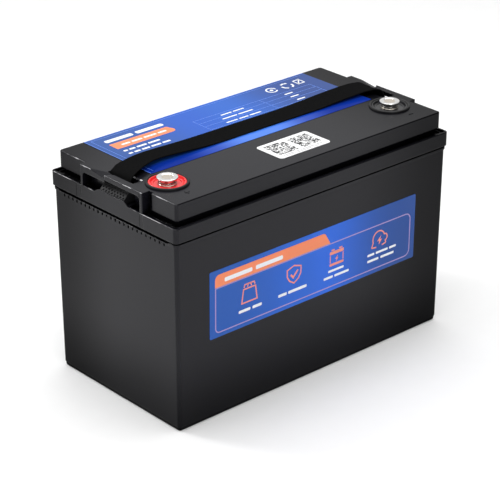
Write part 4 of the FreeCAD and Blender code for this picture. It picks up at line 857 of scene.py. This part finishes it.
def draw_cloud(pen, u, v):
    """A dome with a shoulder, and a bolt of lightning."""
    dome = [*arc(u - 1.0, v + 8.2, 7.6, 200, 20, 16), *arc(u + 6.4, v + 7.4, 3.6, 60, -70, 8)]
    pen.stroke([(u - 10.0, v + 0.6), *dome, (u + 8.4, v + 1.4)], 1.3)
    pen.stroke([(u - 10.0, v + 0.6), (u - 4.0, v)], 1.3)
    pen.stroke([(u + 3.4, v + 0.4), (u + 8.4, v + 1.4)], 1.3)
    lightning(pen, u, v + 1.6, 1.25)


def lightning(pen, u, v, size):
    """A bolt of lightning that stands on a point."""
    shape = [(-0.6, 0), (2.6, 4.2), (0.5, 4.2), (1.8, 7.4), (-2.4, 3.2), (-0.3, 3.2)]
    pen.plate([(u + a * size, v + b * size) for a, b in shape])


def draw_code_sticker():
    """Two blocks of random squares, which say nothing, and two rows of small print."""
    black, grey = Print("sticker_print_blocks", on_sticker), Print("sticker_print_rows", on_sticker)
    rng = random.Random(CODE_SEED)
    for u0, u1 in ((-22.4, 0.6), (5.6, 28.6)):
        cell = (u1 - u0) / CODE_MODULES
        v0 = -59.4
        for row in range(CODE_MODULES):
            run = None
            for column in range(CODE_MODULES + 1):
                dark = column < CODE_MODULES and rng.random() < CODE_DARK
                if dark and run is None:
                    run = column
                if not dark and run is not None:
                    black.bar(u0 + run * cell, u0 + column * cell - 0.06, v0 + row * cell + 0.03,
                              v0 + (row + 1) * cell - 0.03)
                    run = None
    grey.words(-21, 27, -62.6, -61.0, (8, 3, 10, 6))
    grey.words(-19, 20, -64.8, -63.4, (6, 9, 4))
    black.build("white_sticker", INKS["black_ink"])
    grey.build("white_sticker", INKS["grey_ink"])


# ---- studio --------------------------------------------------------------------------------------
def area_light(name, place, aim, size, power):
    """A rectangular light that faces its aim."""
    data = bpy.data.lights.new(name, "AREA")
    data.shape, (data.size, data.size_y) = "RECTANGLE", size
    data.energy = power
    obj = bpy.data.objects.new(name, data)
    obj.location = place
    obj.rotation_mode = "QUATERNION"
    obj.rotation_quaternion = (Vector(aim) - Vector(place)).to_track_quat("-Z", "Y")
    bpy.context.scene.collection.objects.link(obj)


def surround():
    """A pale surround, brightest behind the object."""
    world = bpy.data.worlds.new("studio")
    world.use_nodes = True
    tree = world.node_tree
    place = tree.nodes.new("ShaderNodeTexCoord")
    towards = tree.nodes.new("ShaderNodeVectorMath")
    towards.operation = "DOT_PRODUCT"
    towards.inputs[1].default_value = WORLD_TOWARDS
    strength = tree.nodes.new("ShaderNodeMapRange")
    strength.interpolation_type = "SMOOTHSTEP"
    for key, number in zip(("From Min", "From Max", "To Min", "To Max"),
                           (*WORLD_SPREAD, WORLD_DIM, WORLD_BRIGHT)):
        strength.inputs[key].default_value = number
    background = tree.nodes["Background"]
    background.inputs["Color"].default_value = (1.0, 1.0, 1.0, 1.0)
    tree.links.new(place.outputs["Generated"], towards.inputs[0])
    tree.links.new(towards.outputs["Value"], strength.inputs["Value"])
    tree.links.new(strength.outputs["Result"], background.inputs["Strength"])
    bpy.context.scene.world = world


def studio():
    """A pale floor under a soft surround, one large light above, a rim light behind and a fill in front."""
    floor_finish = Finish("floor_paper", (0.86, 0.86, 0.86), (0.88, 0.88, 0.88), (0.75, 0.85), 60.0, 0.00002,
                          specular_ior_level=0.15)
    edge = FLOOR_SIZE / 2 / MM
    floor = mesh_object("floor", [(-edge, -edge, 0), (edge, -edge, 0), (edge, edge, 0), (-edge, edge, 0)],
                        [(0, 1, 2, 3)], floor_finish.done())
    surround()
    for light in LIGHTS:
        area_light(*light)
    scene = bpy.context.scene
    scene.view_settings.view_transform = "Standard"
    scene.view_settings.look = "None"


def camera():
    """The photograph's view."""
    turn, rise = math.radians(CAMERA_TURN), math.radians(CAMERA_RISE)
    back = Vector((math.sin(turn) * math.cos(rise), -math.cos(turn) * math.cos(rise), math.sin(rise)))
    right = Vector((math.cos(turn), math.sin(turn), 0))
    up = back.cross(right)
    data = bpy.data.cameras.new("camera")
    data.lens, data.sensor_width = CAMERA_LENS, CAMERA_SENSOR
    obj = bpy.data.objects.new("camera", data)
    obj.location = CAMERA_AIM + right * AIM_SHIFT[0] + up * AIM_SHIFT[1] + back * CAMERA_DISTANCE
    obj.rotation_mode = "QUATERNION"
    obj.rotation_quaternion = (-back).to_track_quat("-Z", "Y")
    bpy.context.scene.collection.objects.link(obj)
    bpy.context.scene.camera = obj


camera()
studio()
finish_cad_nodes()
strap_half("strap_right_half", 1, STRAP_RIGHT, TURN_RIGHT)
strap_half("strap_left_half", -1, STRAP_LEFT, TURN_LEFT)
bolt("positive_bolt_detailed", "positive_terminal_bolt", "positive_bolt")
bolt("negative_bolt_detailed", "negative_terminal_bolt", "negative_bolt")
draw_top_label()
draw_front_label()
draw_code_sticker()
